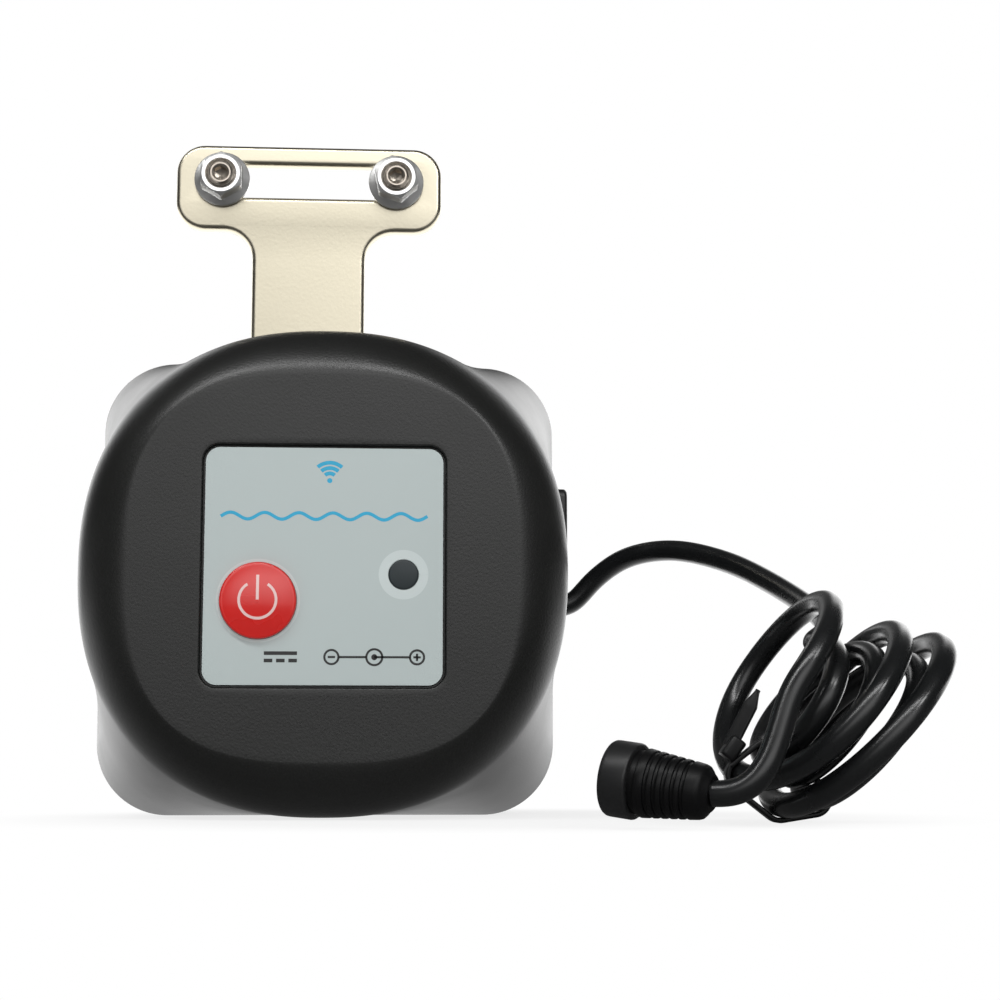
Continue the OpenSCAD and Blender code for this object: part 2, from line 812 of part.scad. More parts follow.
// Studs and nuts; the thread ends behind the back nut and a reduced shank goes on
stud_runout = 0.8;
module stud(side) {
    at = output_at + [side * stud_gap / 2, slot_z];
    step = plate_back + back_nut_h + stud_runout - stud_front;
    shank = stud_shank_d / 2;
    difference() {
        turned(at, stud_front) polygon([
            [0, 0], [stud_d / 2 - 0.5, 0], [stud_d / 2, 0.5], [stud_d / 2, step],
            [shank, step + stud_d / 2 - shank], [shank, stud_l - 0.6], [shank - 0.6, stud_l], [0, stud_l]
        ]);
        deep(stud_front - 1, stud_front + 2.2) translate(at) rotate(30 + 12 * (side + 1))
            circle(d = socket_af / cos(30), $fn = 6);
    }
}

// Hexagon block with its corners turned off at the front, the back or both
module hex_block(at, turn, from, to, front_cut, back_cut) {
    corner = nut_af / cos(30) / 2;
    rise = (corner - nut_af / 2 + 0.3) * 0.5;
    face = nut_af / 2 - 0.3;
    intersection() {
        deep(from, to) translate(at) rotate(turn) circle(d = 2 * corner, $fn = 6);
        turned(at, from) polygon([
            [0, 0], [front_cut ? face : corner + 1, 0], [corner + 1, front_cut ? rise + 0.5 : 0],
            [corner + 1, to - from - (back_cut ? rise + 0.5 : 0)], [back_cut ? face : corner + 1, to - from],
            [0, to - from]
        ]);
    }
}

module stud_bore(at, from, to) {
    bar(at, stud_d + 2 * fit_clear, from - 1, to + 1);
}

module flange_nut(side, turn) {
    at = output_at + [side * stud_gap / 2, slot_z];
    front = plate_front - nut_h;
    difference() {
        union() {
            hex_block(at, turn, front, plate_front - 0.6, true, false);
            turned(at, plate_front) polygon([
                [0, 0], [flange_d / 2 - 0.3, 0], [flange_d / 2, -0.3], [flange_d / 2, -0.9],
                [nut_af / 2, -1.7], [0, -1.7]
            ]);
        }
        stud_bore(at, front, plate_front);
        turned(at, front) polygon([
            [0, -0.1], [stud_d / 2 + 0.6, -0.1], [stud_d / 2, 0.6], [0, 0.6]
        ]);
    }
}

module back_nut(side) {
    at = output_at + [side * stud_gap / 2, slot_z];
    difference() {
        hex_block(at, 0, plate_back, plate_back + back_nut_h, true, true);
        stud_bore(at, plate_back, plate_back + back_nut_h);
    }
}

module left_stud() stud(-1);
module right_stud() stud(1);
module left_flange_nut() flange_nut(-1, 30);
module right_flange_nut() flange_nut(1, 42);
module left_back_nut() back_nut(-1);
module right_back_nut() back_nut(1);

// Gland in the right wall
gland_out = tub_size / 2 + 1.2;
gland_mouth = 1;
module cable_gland() {
    in = tub_size / 2 - wall - 1.6;
    translate([in, front_y + gland_depth, mid_z + gland_at]) rotate([0, 90, 0]) difference() {
        cylinder(d = gland_d, h = gland_out - in);
        translate([0, 0, 1.5]) cylinder(d = cable_d + 2 * fit_clear, h = 20);
        translate([0, 0, gland_out - in - gland_mouth])
            cylinder(d1 = cable_d, d2 = cable_d + 2 * gland_mouth, h = gland_mouth + eps);
    }
}

// Cord: a lead from the gland, a hank of two layers of loops, and a tail to the inline socket
function unit(v) = v / norm(v);
function smooth(t) = let (c = min(1, max(0, t))) c * c * (3 - 2 * c);
function tube_ring(p, t, ref, sides) =
    let (u = unit(ref - (ref * t) * t), v = cross(u, t))
    [for (k = [0 : sides - 1]) let (b = 360 * k / sides) p + cable_d / 2 * (cos(b) * u + sin(b) * v)];

// Curve through points, with steps between each two; the end stretches stay straight
function curve_at(a, b, c, d, t) =
    0.5 * (2 * b + (c - a) * t + (2 * a - 5 * b + 4 * c - d) * t * t + (3 * b - a - 3 * c + d) * pow(t, 3));
function curve(pts, steps) =
    let (n = len(pts))
    concat([for (i = [0 : n - 2], k = [0 : steps - 1])
        curve_at(pts[max(0, i - 1)], pts[i], pts[i + 1], pts[min(n - 1, i + 2)], k / steps)], [pts[n - 1]]);
module tube(pts, ref, sides) {
    n = len(pts);
    skin([for (i = [0 : n - 1])
        tube_ring(pts[i], unit(pts[min(n - 1, i + 1)] - pts[max(0, i - 1)]), ref, sides)]);
}

// The hank: loops lie side by side along hank_side, go out in the inner layer and come back in the outer one
hank_turns = 5.25;
hank_steps = 24;
hank_pitch = 4.4;
hank_grow = 1.4;
hank_lean = 55.5;
hank_fan = 3.2;
hank_tilt = 7;
hank_apart = 4.8;
hank_at = [61.9, front_y - 34, 8];
hank_side = [cos(38), 0, -sin(38)];
hank_near = cos(hank_tilt) * [0, -1, 0] + sin(hank_tilt) * hank_side;
layer_swap = 0.25;
function hank(tau) =
    let (
        x = tau - hank_turns / 2,
        tri = abs(x) < layer_swap ? x * x / (2 * layer_swap) + layer_swap / 2 : abs(x),
        s = hank_turns / 2 - tri,
        delta = hank_pitch * smooth((x + layer_swap) / (2 * layer_swap)),
        long = hank_long + hank_grow * s,
        lean = hank_lean - hank_fan * s,
        out = [cos(lean), 0, sin(lean)],
        side = hank_pitch * s - hank_apart * smooth((tau - hank_turns + 1) / 0.5)
    )
    hank_at + side * hank_side + (long + hank_pitch + (long + delta) * cos(360 * tau)) * out
    + (hank_deep + delta) * sin(360 * tau) * hank_near;
hank_rings = hank_turns * hank_steps;
hank_points = [for (i = [0 : hank_rings]) hank(i / hank_steps)];
function hank_dir(tau) = unit(hank(tau + 0.001) - hank(tau - 0.001));
hank_apart_least = min([for (i = [0 : hank_rings - 8]) each
    [for (j = [i + 8 : hank_rings]) norm(hank_points[i] - hank_points[j])]]) - cable_d;
echo(hank_least_gap = hank_apart_least, hank_lowest = min([for (p = hank_points) p[2]]) - cable_d / 2);
module cord_coil() {
    skin([for (i = [0 : hank_rings])
        tube_ring(hank_points[i], hank_dir(i / hank_steps), hank_side, 6)]);
}

gland_y = front_y + gland_depth;
gland_z = mid_z + gland_at;
hank_start = hank(0);
lead_points = [
    [39.3, gland_y, gland_z], [41.1, gland_y, gland_z], [43.4, gland_y, gland_z], [45.3, -12.6, 38.8], [47, -13, 41],
    [49, -13.7, 43], [52.6, -16, 45.6], [56.5, -19, 46.8], [61.2, -23, 46.9], [65.8, -28, 45.6], [70.6, -36, 42.8],
    [74.6, -46, 38.8], [77.2, -55, 35.2], [78.6, -64, 31.8], [77.8, -71, 29.4],
    hank_start - cable_d * hank_dir(0), hank_start - cable_d / 2 * hank_dir(0), hank_start
];
module cord_lead() tube(curve(lead_points, 4), [0, 0, 1], 8);

jack_at = [54.9, -97.4, jack_d / 2 - 0.3];
jack_dir = 149;
jack_rise = 8;
jack_axis = [cos(jack_dir) * cos(jack_rise), sin(jack_dir) * cos(jack_rise), sin(jack_rise)];
hank_end = hank_points[hank_rings];
tail_points = [
    hank_end, hank_end + cable_d / 2 * hank_dir(hank_turns), hank_end + cable_d * hank_dir(hank_turns),
    [65, -97.8, 13.2], [62.8, -98.9, 9.6], [60.8, -99.7, 6.7], [59.4, -99.8, 5.2],
    jack_at - cable_d * jack_axis, jack_at - cable_d / 2 * jack_axis, jack_at
];
module cord_tail() tube(curve(tail_points, 4), [0, 0, 1], 8);

// Flat tie drawn round the low end of the hank's strands, with a head and a free end
tie_w = 2.4;
tie_t = 0.8;
tie_slack = 0.45;
tie_end = 9.5;
tie_head = [3.2, 4.4, 4.2];
hank_up = [-hank_side[2], 0, hank_side[0]];
tie_strands = [for (k = [0 : 4]) let (p = hank(k + 0.5) - hank_at) [p * hank_side, p * hank_up]];
tie_left = min([for (p = tie_strands) p[0]]) - cable_d / 2 - tie_slack - tie_t;
module tie_loop(grow) {
    hull() for (p = tie_strands) translate(p) circle(cable_d / 2 + tie_slack + grow, $fn = 48);
}
module cable_tie() {
    translate(hank_at) rotate([90, 38, 0]) {
        linear_extrude(tie_w, center = true) difference() {
            tie_loop(tie_t);
            tie_loop(0);
        }
        translate([tie_left + 0.4 - tie_head[0] / 2, tie_head[1] / 2, 0]) cube(tie_head, center = true);
        translate([tie_left - 1.4, tie_head[1] / 2, 0]) rotate([0, 0, 10]) translate([-tie_t, 0, -tie_w / 2])
            cube([tie_t, tie_end, tie_w]);
    }
}

// Inline power socket on the tail's end
module jack_turned() {
    translate(jack_at) rotate([0, 90 - jack_rise, jack_dir]) rotate_extrude() children();
}
jack_l = 15.4;
jack_neck = jack_d / 2 - 0.9;
collar_l = 4.2;
rib_count = 5;
module jack_body() {
    tail_r = jack_d / 2 - 1.5;
    head_r = jack_d / 2 - 0.5;
    head_at = jack_l - collar_l - 1;
    function taper(at) = tail_r + (head_r - tail_r) * (at - 1.6) / (head_at - 1.6);
    jack_turned() polygon(concat(
        [[0, 0], [2.6, 0], [3, 0.6], [tail_r - 0.4, 0.9], [tail_r, 1.6]],
        [for (k = [0 : rib_count - 1]) each let (at = 3 + 1.3 * k)
            [[taper(at), at], [taper(at) - 0.35, at], [taper(at) - 0.35, at + 0.6], [taper(at + 0.6), at + 0.6]]],
        [[head_r, head_at], [jack_neck, head_at + 0.2], [jack_neck, jack_l],
            [jack_bore / 2, jack_l], [jack_bore / 2, 6], [jack_pin / 2 + fit_clear, 6],
            [jack_pin / 2 + fit_clear, 4.4], [0, 4.4]]
    ));
}
module jack_collar() {
    jack_turned() polygon([
        [jack_neck + fit_clear, jack_l - collar_l], [jack_d / 2 - 0.3, jack_l - collar_l],
        [jack_d / 2, jack_l - collar_l + 0.3], [jack_d / 2, jack_l - 0.4], [jack_d / 2 - 0.4, jack_l],
        [jack_neck + fit_clear, jack_l]
    ]);
}
module jack_contacts() {
    jack_turned() polygon([
        [0, 4.4], [jack_pin / 2, 4.4], [jack_pin / 2, jack_l - 1.4], [jack_pin / 2 - 0.4, jack_l - 1],
        [0, jack_l - 1]
    ]);
}

front_shell();
rear_cover();
shell_gasket();
cover_screws();
label_panel();
led_window();
led_lamp();
circuit_board();
wireless_module();
tact_switch();
board_screws();
power_button();
release_button();
release_spring();
motor_can();
motor_end_cap();
motor_pinion();
gear_plate();
plate_screws();
gear_spindles();
first_gear();
second_gear();
output_gear();
output_shaft();
shaft_bush();
shaft_seal();
limit_cam();
limit_switches();
drive_arm();
arm_screw();
fork_posts();
fork_sleeves();
mounting_bracket();
bracket_screws();
left_stud();
left_flange_nut();
left_back_nut();
right_stud();
right_flange_nut();
right_back_nut();
cable_gland();
cord_lead();
cord_coil();
cord_tail();
cable_tie();
jack_body();
jack_collar();
jack_contacts();
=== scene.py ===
"""Looks of a clamp-on valve controller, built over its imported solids.

Each sub-assembly is a class whose fields are its real sizes in millimetres. Visible pieces are fine
surfaces worked out as whole arrays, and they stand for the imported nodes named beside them.
"""

import logging
import math
from collections.abc import Iterable, Sequence
from dataclasses import dataclass
from enum import Enum

import bmesh
import bpy
import numpy as np
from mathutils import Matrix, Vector


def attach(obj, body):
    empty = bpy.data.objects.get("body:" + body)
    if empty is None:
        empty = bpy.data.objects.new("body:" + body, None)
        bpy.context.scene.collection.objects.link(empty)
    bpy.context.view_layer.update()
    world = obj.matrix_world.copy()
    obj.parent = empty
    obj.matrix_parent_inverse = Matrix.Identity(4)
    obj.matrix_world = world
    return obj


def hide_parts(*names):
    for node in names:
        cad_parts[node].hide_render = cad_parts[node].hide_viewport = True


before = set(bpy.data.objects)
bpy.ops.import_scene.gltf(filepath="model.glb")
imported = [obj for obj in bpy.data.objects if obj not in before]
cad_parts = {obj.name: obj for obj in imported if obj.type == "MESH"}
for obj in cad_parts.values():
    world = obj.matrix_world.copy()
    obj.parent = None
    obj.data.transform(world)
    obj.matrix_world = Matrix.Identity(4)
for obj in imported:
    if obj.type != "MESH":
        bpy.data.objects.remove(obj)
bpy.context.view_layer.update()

Array = np.ndarray
Piece = bpy.types.Object
Socket = bpy.types.NodeSocket
Tree = bpy.types.NodeTree
Pair = tuple[float, float]
Triple = tuple[float, float, float]
Point = Colour = Triple
Profile = Sequence[Pair]

LOG = logging.getLogger("controller")
MM = 0.001
SHARP = 35.0  # edges that turn by more degrees than this stay sharp
SHELL_SHARP, STUD_SHARP, PLATE_SHARP, CORD_SHARP = 30.0, 28.0, 40.0, 60.0  # likewise
ASIDE = (0.31, 0.52, 0.8)  # a direction that the cord doesn't start along
CORNER_SHIFT = 0.14  # how far the housing's angles move towards its corners, in radians
PIT_SHARE = 0.35  # share of the pits in the moulded grain's height
LINE_STRETCH = (1.0, 1.0, 0.06)  # draws the lines of drawn metal out along their length
HUB = 0.02  # radius at which a turned profile meets its axis
WELD = 1e-7  # points nearer than this, in metres, are one point

# Sizes and places that several pieces share, in millimetres
TUB, TUB_CORNER = 83.0, 13.0  # square back of the housing, and its corners
WALL = 2.2  # thickness of the housing
SEAM_AT, SEAM = 40.0, 0.15  # seam of the two halves behind the face, and its edges
FRONT_Y = -45.55  # depth of the face
MID_Z = 41.5  # height of the middle of the face
SHAFT_X = -5.2  # output shaft and bracket, to the right of the middle
PLATE_FRONT, PLATE_BACK = 16.45, 19.45  # depths of the bracket's two sides
STUD_REACH, STUD_UP = 17.4, 83.8  # studs from the shaft, to each side and up
BUTTON_AT = (-10.7, -5.8)  # from the middle of the face, to the right and up
LAMP_AT = (13.1, -1.4)  # likewise
TAB_AT = (-14.55, 52.9)  # depth and height on the right wall
GLAND_AT = (-12.55, 37.5)  # likewise

# Directions: to the right, into the housing and out of its face
ACROSS, INWARDS, AHEAD = (1.0, 0.0, 0.0), (0.0, 1.0, 0.0), (0.0, -1.0, 0.0)


class Body(Enum):
    """Bodies of the frame that the new pieces ride on."""

    HOUSING = "housing"
    BUTTON = "button"
    RELEASE = "release"
    LEFT = "left_clamp"
    RIGHT = "right_clamp"


class Side(Enum):
    """Sides of the bracket, as factors along the first axis."""

    LEFT = -1
    RIGHT = 1


class Grain(Enum):
    """Structures that a finish can have, by the name of their shader group."""

    MOULDED = "moulded_grain"
    DRAWN = "drawn_metal"


class Maths(Enum):
    """Steps of arithmetic between shader sockets."""

    ADD = "ADD"
    MULTIPLY = "MULTIPLY"
    ABSOLUTE = "ABSOLUTE"


# Surfaces


def quads(rows: int, cols: int, wrap: bool) -> Array:
    """Corner numbers of the quads of a grid.

    Args:
        rows: Number of rings.
        cols: Points in a ring.
        wrap: True where the last point of a ring joins the first.

    Returns:
        One row of four corner numbers for each quad.
    """
    r = np.arange(rows - 1)[:, None] * cols
    c = np.arange(cols if wrap else cols - 1)[None, :]
    n = (c + 1) % cols
    corners = np.broadcast_arrays(r + c, r + n, r + cols + n, r + cols + c)
    return np.stack(corners, -1).reshape(-1, 4)


def linked(name: str, data: bpy.types.ID) -> Piece:
    """A new object at the origin, linked to the scene.

    Args:
        name: Name of the object.
        data: Its mesh, curve, lamp or camera.

    Returns:
        The object.
    """
    piece = bpy.data.objects.new(name, data)
    bpy.context.scene.collection.objects.link(piece)
    return piece


def put(name: str, points: Array, faces: list[list[int]], sharp: float = SHARP) -> Piece:
    """Makes a mesh object at the origin, with its normals turned outwards.

    Args:
        name: Name of the piece.
        points: Vertices in millimetres.
        faces: Lists of corner numbers.
        sharp: Edges that turn by more degrees than this stay sharp.

    Returns:
        The new object.
    """
    mesh = bpy.data.meshes.new(name)
    mesh.from_pydata((points * MM).tolist(), [], faces)
    work = bmesh.new()
    work.from_mesh(mesh)
    bmesh.ops.remove_doubles(work, verts=work.verts, dist=WELD)
    bmesh.ops.recalc_face_normals(work, faces=work.faces)
    work.to_mesh(mesh)
    work.free()
    mesh.shade_smooth()
    mesh.set_sharp_from_angle(angle=math.radians(sharp))
    return linked(name, mesh)


def skin(name: str, rings: Array, sharp: float = SHARP) -> Piece:
    """Skins closed rings, with a fan of triangles over each end.

    Args:
        name: Name of the piece.
        rings: Points by ring, place in the ring and axis, in millimetres.
        sharp: Edges that turn by more degrees than this stay sharp.

    Returns:
        The skinned piece.
    """
    rows, cols, _ = rings.shape
    k = np.arange(cols)
    n, last = (k + 1) % cols, (rows - 1) * cols
    points = np.vstack([rings.reshape(-1, 3), rings[0].mean(0), rings[-1].mean(0)])
    faces = quads(rows, cols, True).tolist()
    faces += np.stack([np.full(cols, rows * cols), n, k], -1).tolist()
    faces += np.stack([np.full(cols, rows * cols + 1), last + k, last + n], -1).tolist()
    return put(name, points, faces, sharp)


def unit(vectors: Array) -> Array:
    """Vectors of length 1 in the same directions: each one over its own length."""
    return vectors / np.linalg.norm(vectors, axis=-1, keepdims=True)


def even_angles(steps: int) -> Array:
    """Angles at even steps once round, in radians."""
    return np.linspace(0, 2 * np.pi, steps, endpoint=False)


def quarter(radius: float, steps: int) -> tuple[Array, Array]:
    """Round edge over angles a: the way left, r (1 - sin a), and the fall, r (1 - cos a)."""
    a = np.linspace(0, np.pi / 2, steps)
    return radius * (1 - np.sin(a)), radius * (1 - np.cos(a))


def turned(
    name: str, profile: Profile, at: Point, axis: Point | Array, steps: int = 128
) -> Piece:
    """Turns a profile: each point sits at its distance along the axis and at its radius from it.

    Args:
        name: Name of the piece.
        profile: Distance along the axis and radius of each ring, in millimetres.
        at: Where the axis starts.
        axis: Direction of the axis, which isn't upright.
        steps: Points round the axis.

    Returns:
        The turned piece, closed at both ends.
    """
    rows, along = np.array(profile, float), unit(np.array(axis, float))
    side = unit(np.cross(along, (0.0, 0.0, 1.0)))
    up = np.cross(along, side)
    turn = even_angles(steps)[None, :, None]
    way, radius = rows[:, 0, None, None], rows[:, 1, None, None]
    spoke = np.cos(turn) * side + np.sin(turn) * up
    return skin(name, np.array(at) + way * along + radius * spoke)


def swept(
    name: str, path: Array, section: Array, guide: Array, size: Array | None = None
) -> Piece:
    """Carries a section along a path. Its first axis is the guide without its share along the path.

    Args:
        name: Name of the piece.
        path: Points of the path in millimetres.
        section: Closed outline, by point and axis.
        guide: Direction that is never along the path.
        size: Factors for both axes of the section, at each point of the path.

    Returns:
        The swept piece, closed at both ends.
    """
    along = unit(np.gradient(path, axis=0))
    first = unit(guide - (along @ guide)[:, None] * along)
    second = np.cross(along, first)
    size = np.ones((len(path), 2)) if size is None else size
    u, v = (section[None, :, k, None] * size[:, None, k, None] for k in (0, 1))
    return skin(name, path[:, None] + u * first[:, None] + v * second[:, None])


def rounded_outline(width: float, height: float, corner: float, steps: int = 10) -> Array:
    """Outline of a rectangle with rounded corners: four quarter circles joined by straight sides.

    Args:
        width: Size along the first axis.
        height: Size along the second axis.
        corner: Radius of the corners.
        steps: Points on each corner.

    Returns:
        Closed outline, by point and axis.
    """
    bend = np.linspace(0, np.pi / 2, steps)
    turn = np.concatenate([bend + k * np.pi / 2 for k in range(4)])
    mid = np.repeat([[1, 1], [-1, 1], [-1, -1], [1, -1]], steps, axis=0)
    mid = mid * [width / 2 - corner, height / 2 - corner]
    return mid + corner * np.stack([np.cos(turn), np.sin(turn)], -1)


def circle(radius: float, steps: int) -> Array:
    """Points of a circle in its own plane, at even angles."""
    turn = even_angles(steps)
    return radius * np.stack([np.cos(turn), np.sin(turn)], -1)


def arc(x: float, z: float, radius: float, start: float, end: float, steps: int = 12) -> Array:
    """Points of an arc round a middle in an upright plane, between two angles in degrees."""
    turn = np.radians(np.linspace(start, end, steps))
    return np.stack([x + radius * np.cos(turn), z + radius * np.sin(turn)], -1)


def walked(line: Array) -> Array:
    """Distance along a line up to each of its points: the sum of the steps before it."""
    return np.concatenate([[0], np.cumsum(np.linalg.norm(np.diff(line, axis=0), axis=1))])


def picked(line: Array, stops: Array) -> Array:
    """Points of a line at given distances along it, straight between its own points."""
    return np.stack([np.interp(stops, walked(line), part) for part in line.T], -1)


def outer_line(points: Array, steps: int) -> Array:
    """Line drawn tight round flat points: the convex outline, walked at even steps.

    Args:
        points: Flat points.
        steps: Points on the line.

    Returns:
        Closed outline, by point and axis.
    """
    order = points[np.lexsort(points.T[::-1])]
    ring: list[Array] = []
    for half in (order, order[::-1]):
        chain: list[Array] = []
        for p in half:
            while len(chain) > 1 and np.linalg.det([chain[-1] - chain[-2], p - chain[-1]]) <= 0:
                chain.pop()
            chain.append(p)
        ring += chain[:-1]
    line = np.array(ring + ring[:1])
    return picked(line, np.linspace(0, walked(line)[-1], steps, endpoint=False))


def smooth_line(points: Array, steps: int) -> Array:
    """Catmull-Rom line: cubics whose end slopes are half the step between the neighbours.

    Args:
        points: Points that the line goes through.
        steps: Points on each stretch.

    Returns:
        Points of the line, with the last one included.
    """
    ext = np.vstack([2 * points[0] - points[1], points, 2 * points[-1] - points[-2]])
    a, b, c, d = (part[:, None, :] for part in (ext[:-3], ext[1:-2], ext[2:-1], ext[3:]))
    t = np.linspace(0, 1, steps, endpoint=False)[None, :, None]
    bend, swing = 2 * a - 5 * b + 4 * c - d, 3 * b - a - 3 * c + d
    line = 0.5 * (2 * b + (c - a) * t + bend * t**2 + swing * t**3)
    return np.vstack([line.reshape(-1, 3), points[-1]])


def relaxed(line: Array, step: float, passes: int) -> Array:
    """Walks a line at even steps. Each pass then moves points half way to their neighbours' middle.

    Args:
        line: Points of the line.
        step: Distance between the new points.
        passes: Number of passes.

    Returns:
        Points of the eased line, with both ends kept.
    """
    total = walked(line)[-1]
    line = picked(line, np.linspace(0, total, int(total / step)))
    for _ in range(passes):
        line[1:-1] = (line[:-2] + 2 * line[1:-1] + line[2:]) / 4
    return line


def cubic(t: Array, knots: Iterable[Array | Point | float]) -> Array:
    """Cubic curve: four knots, weighted by (1-t)^3, 3 (1-t)^2 t, 3 (1-t) t^2 and t^3."""
    weights = (1 - t) ** 3, 3 * (1 - t) ** 2 * t, 3 * (1 - t) * t**2, t**3
    return sum(w * np.asarray(k) for w, k in zip(weights, knots))


def eased(share: Array) -> Array:
    """Share from 0 to 1 that starts and ends level: three of its squares less two of its cubes."""
    s = np.clip(share, 0, 1)
    return s**2 * (3 - 2 * s)


def tube(name: str, path: Array, radius: float, steps: int) -> Piece:
    """Round tube: a circle carried along a path, each one turned as little as it can from the last.

    Args:
        name: Name of the piece.
        path: Points of the path in millimetres.
        radius: Radius of the tube.
        steps: Points round the tube.

    Returns:
        The tube, closed at both ends.
    """
    along = unit(np.gradient(path, axis=0))
    first = np.zeros_like(path)
    last = np.cross(along[0], ASIDE)
    for k, a in enumerate(along):
        last = unit(last - (last @ a) * a)
        first[k] = last
    u, v = circle(radius, steps).T[:, None, :, None]
    rings = path[:, None] + u * first[:, None] + v * np.cross(along, first)[:, None]
    return skin(name, rings, CORD_SHARP)


def evaluated(piece: Piece) -> bpy.types.Mesh:
    """A new mesh of an object with its modifiers, or of a curve."""
    graph = bpy.context.evaluated_depsgraph_get()
    return bpy.data.meshes.new_from_object(piece.evaluated_get(graph))


def plate(name: str, outlines: list[Array], front: float, back: float, edge: float) -> Piece:
    """Fills flat outlines in the upright plane, the later ones as holes, and rounds their edges.

    Args:
        name: Name of the piece.
        outlines: Closed outlines by point and axis, in millimetres.
        front: Place of the front face along the depth axis.
        back: Place of the back face.
        edge: Radius of the rounded edges.

    Returns:
        The plate as a mesh.
    """
    flat = bpy.data.curves.new(name, "CURVE")
    flat.dimensions, flat.fill_mode = "2D", "BOTH"
    flat.extrude, flat.bevel_depth = (back - front) / 2 - edge, edge
    flat.offset, flat.bevel_resolution = -edge, 6
    for outline in outlines:
        line = flat.splines.new("POLY")
        line.points.add(len(outline) - 1)
        line.points.foreach_set("co", np.pad(outline, ((0, 0), (0, 2))).ravel())
        line.use_cyclic_u = True
    holder = linked(name, flat)
    mesh = evaluated(holder)
    co = np.empty(len(mesh.vertices) * 3)
    mesh.vertices.foreach_get("co", co)
    co = co.reshape(-1, 3)
    faces = [list(p.vertices) for p in mesh.polygons]
    bpy.data.objects.remove(holder)
    bpy.data.meshes.remove(mesh)
    points = np.stack([co[:, 0], (front + back) / 2 + co[:, 2], co[:, 1]], -1)
    return put(name, points, faces, PLATE_SHARP)


def cut(piece: Piece, *cutters: Piece) -> Piece:
    """Takes the cutters out of a piece and drops them.

    Args:
        piece: Piece that is cut.
        cutters: Closed pieces that are taken away.

    Returns:
        The cut piece.
    """
    for cutter in cutters:
        step = piece.modifiers.new("cut", "BOOLEAN")
        step.operation, step.solver, step.object = "DIFFERENCE", "EXACT", cutter
    mesh = evaluated(piece)
    piece.modifiers.clear()
    piece.data = mesh
    mesh.name = piece.name
    mesh.set_sharp_from_angle(angle=math.radians(SHARP))
    for cutter in cutters:
        bpy.data.objects.remove(cutter)
    return piece


def joined(name: str, *parts: Piece) -> Piece:
    """Puts the meshes of several pieces into one piece.

    Args:
        name: Name of the joined piece.
        parts: Pieces that are used up.

    Returns:
        The joined piece.
    """
    work = bmesh.new()
    for part in parts:
        work.from_mesh(part.data)
        bpy.data.objects.remove(part)
    mesh = bpy.data.meshes.new(name)
    work.to_mesh(mesh)
    work.free()
    return linked(name, mesh)


# Shader nodes


def by_id(sockets: Iterable[Socket], identifier: str) -> Socket:
    """The socket with an identifier, for nodes whose sockets share a name."""
    return next(s for s in sockets if s.identifier == identifier)


def ramp(tree: Tree, source: Socket, ends: Pair, levels: Pair, smooth: bool = True) -> Socket:
    """Adds a step between two levels.

    Args:
        tree: Node tree that gets the node.
        source: Value that is followed.
        ends: Values where the step starts and ends.
        levels: Results at the start and at the end.
        smooth: True where the step starts and ends level, False where it is straight.

    Returns:
        The result.
    """
    node = tree.nodes.new("ShaderNodeMapRange")
    node.interpolation_type = "SMOOTHSTEP" if smooth else "LINEAR"
    for name, value in zip(("From Min", "From Max", "To Min", "To Max"), (*ends, *levels)):
        node.inputs[name].default_value = value
    tree.links.new(source, node.inputs["Value"])
    return node.outputs["Result"]


def maths(tree: Tree, operation: Maths, *sources: Socket) -> Socket:
    """Adds a step of arithmetic.

    Args:
        tree: Node tree that gets the node.
        operation: The operation.
        sources: Its values.

    Returns:
        The result.
    """
    node = tree.nodes.new("ShaderNodeMath")
    node.operation = operation.value
    for source, socket in zip(sources, node.inputs):
        tree.links.new(source, socket)
    return node.outputs[0]


def blended(tree: Tree, share: Socket, first: Socket, second: Socket) -> Socket:
    """Adds a mix of two shaders.

    Args:
        tree: Node tree that gets the node.
        share: Share of the second shader.
        first: First shader.
        second: Second shader.

    Returns:
        The mixed shader.
    """
    node = tree.nodes.new("ShaderNodeMixShader")
    for source, socket in zip((share, first, second), node.inputs):
        tree.links.new(source, socket)
    return node.outputs[0]


def node_group(grain: Grain) -> tuple[Tree, bpy.types.Node, bpy.types.Node]:
    """Starts an empty shader group for a structure.

    Args:
        grain: The structure.

    Returns:
        The group, its input node (Vector, Grain, Cloud) and output node (Height, Cloud).
    """
    group = bpy.data.node_groups.new(grain.value, "ShaderNodeTree")
    group.interface.new_socket("Vector", in_out="INPUT", socket_type="NodeSocketVector")
    for way, names in (("INPUT", ("Grain", "Cloud")), ("OUTPUT", ("Height", "Cloud"))):
        for name in names:
            group.interface.new_socket(name, in_out=way, socket_type="NodeSocketFloat")
    return group, group.nodes.new("NodeGroupInput"), group.nodes.new("NodeGroupOutput")


def moulded_grain() -> Tree:
    """Shader group for moulded skins: fine grain as a height, and slow clouds of handling wear.

    Returns:
        The group.
    """
    group, inn, out = node_group(Grain.MOULDED)
    link = group.links.new
    fine, slow = (group.nodes.new("ShaderNodeTexNoise") for _ in range(2))
    fine.inputs["Detail"].default_value = 2.0
    slow.inputs["Detail"].default_value = 4.0
    pits = group.nodes.new("ShaderNodeTexVoronoi")
    mix = group.nodes.new("ShaderNodeMath")
    mix.operation = "MULTIPLY_ADD"
    mix.inputs[1].default_value = PIT_SHARE
    for node, scale in ((fine, "Grain"), (pits, "Grain"), (slow, "Cloud")):
        link(inn.outputs["Vector"], node.inputs["Vector"])
        link(inn.outputs[scale], node.inputs["Scale"])
    link(pits.outputs["Distance"], mix.inputs[0])
    link(fine.outputs[0], mix.inputs[2])
    link(mix.outputs[0], out.inputs["Height"])
    link(slow.outputs[0], out.inputs["Cloud"])
    return group


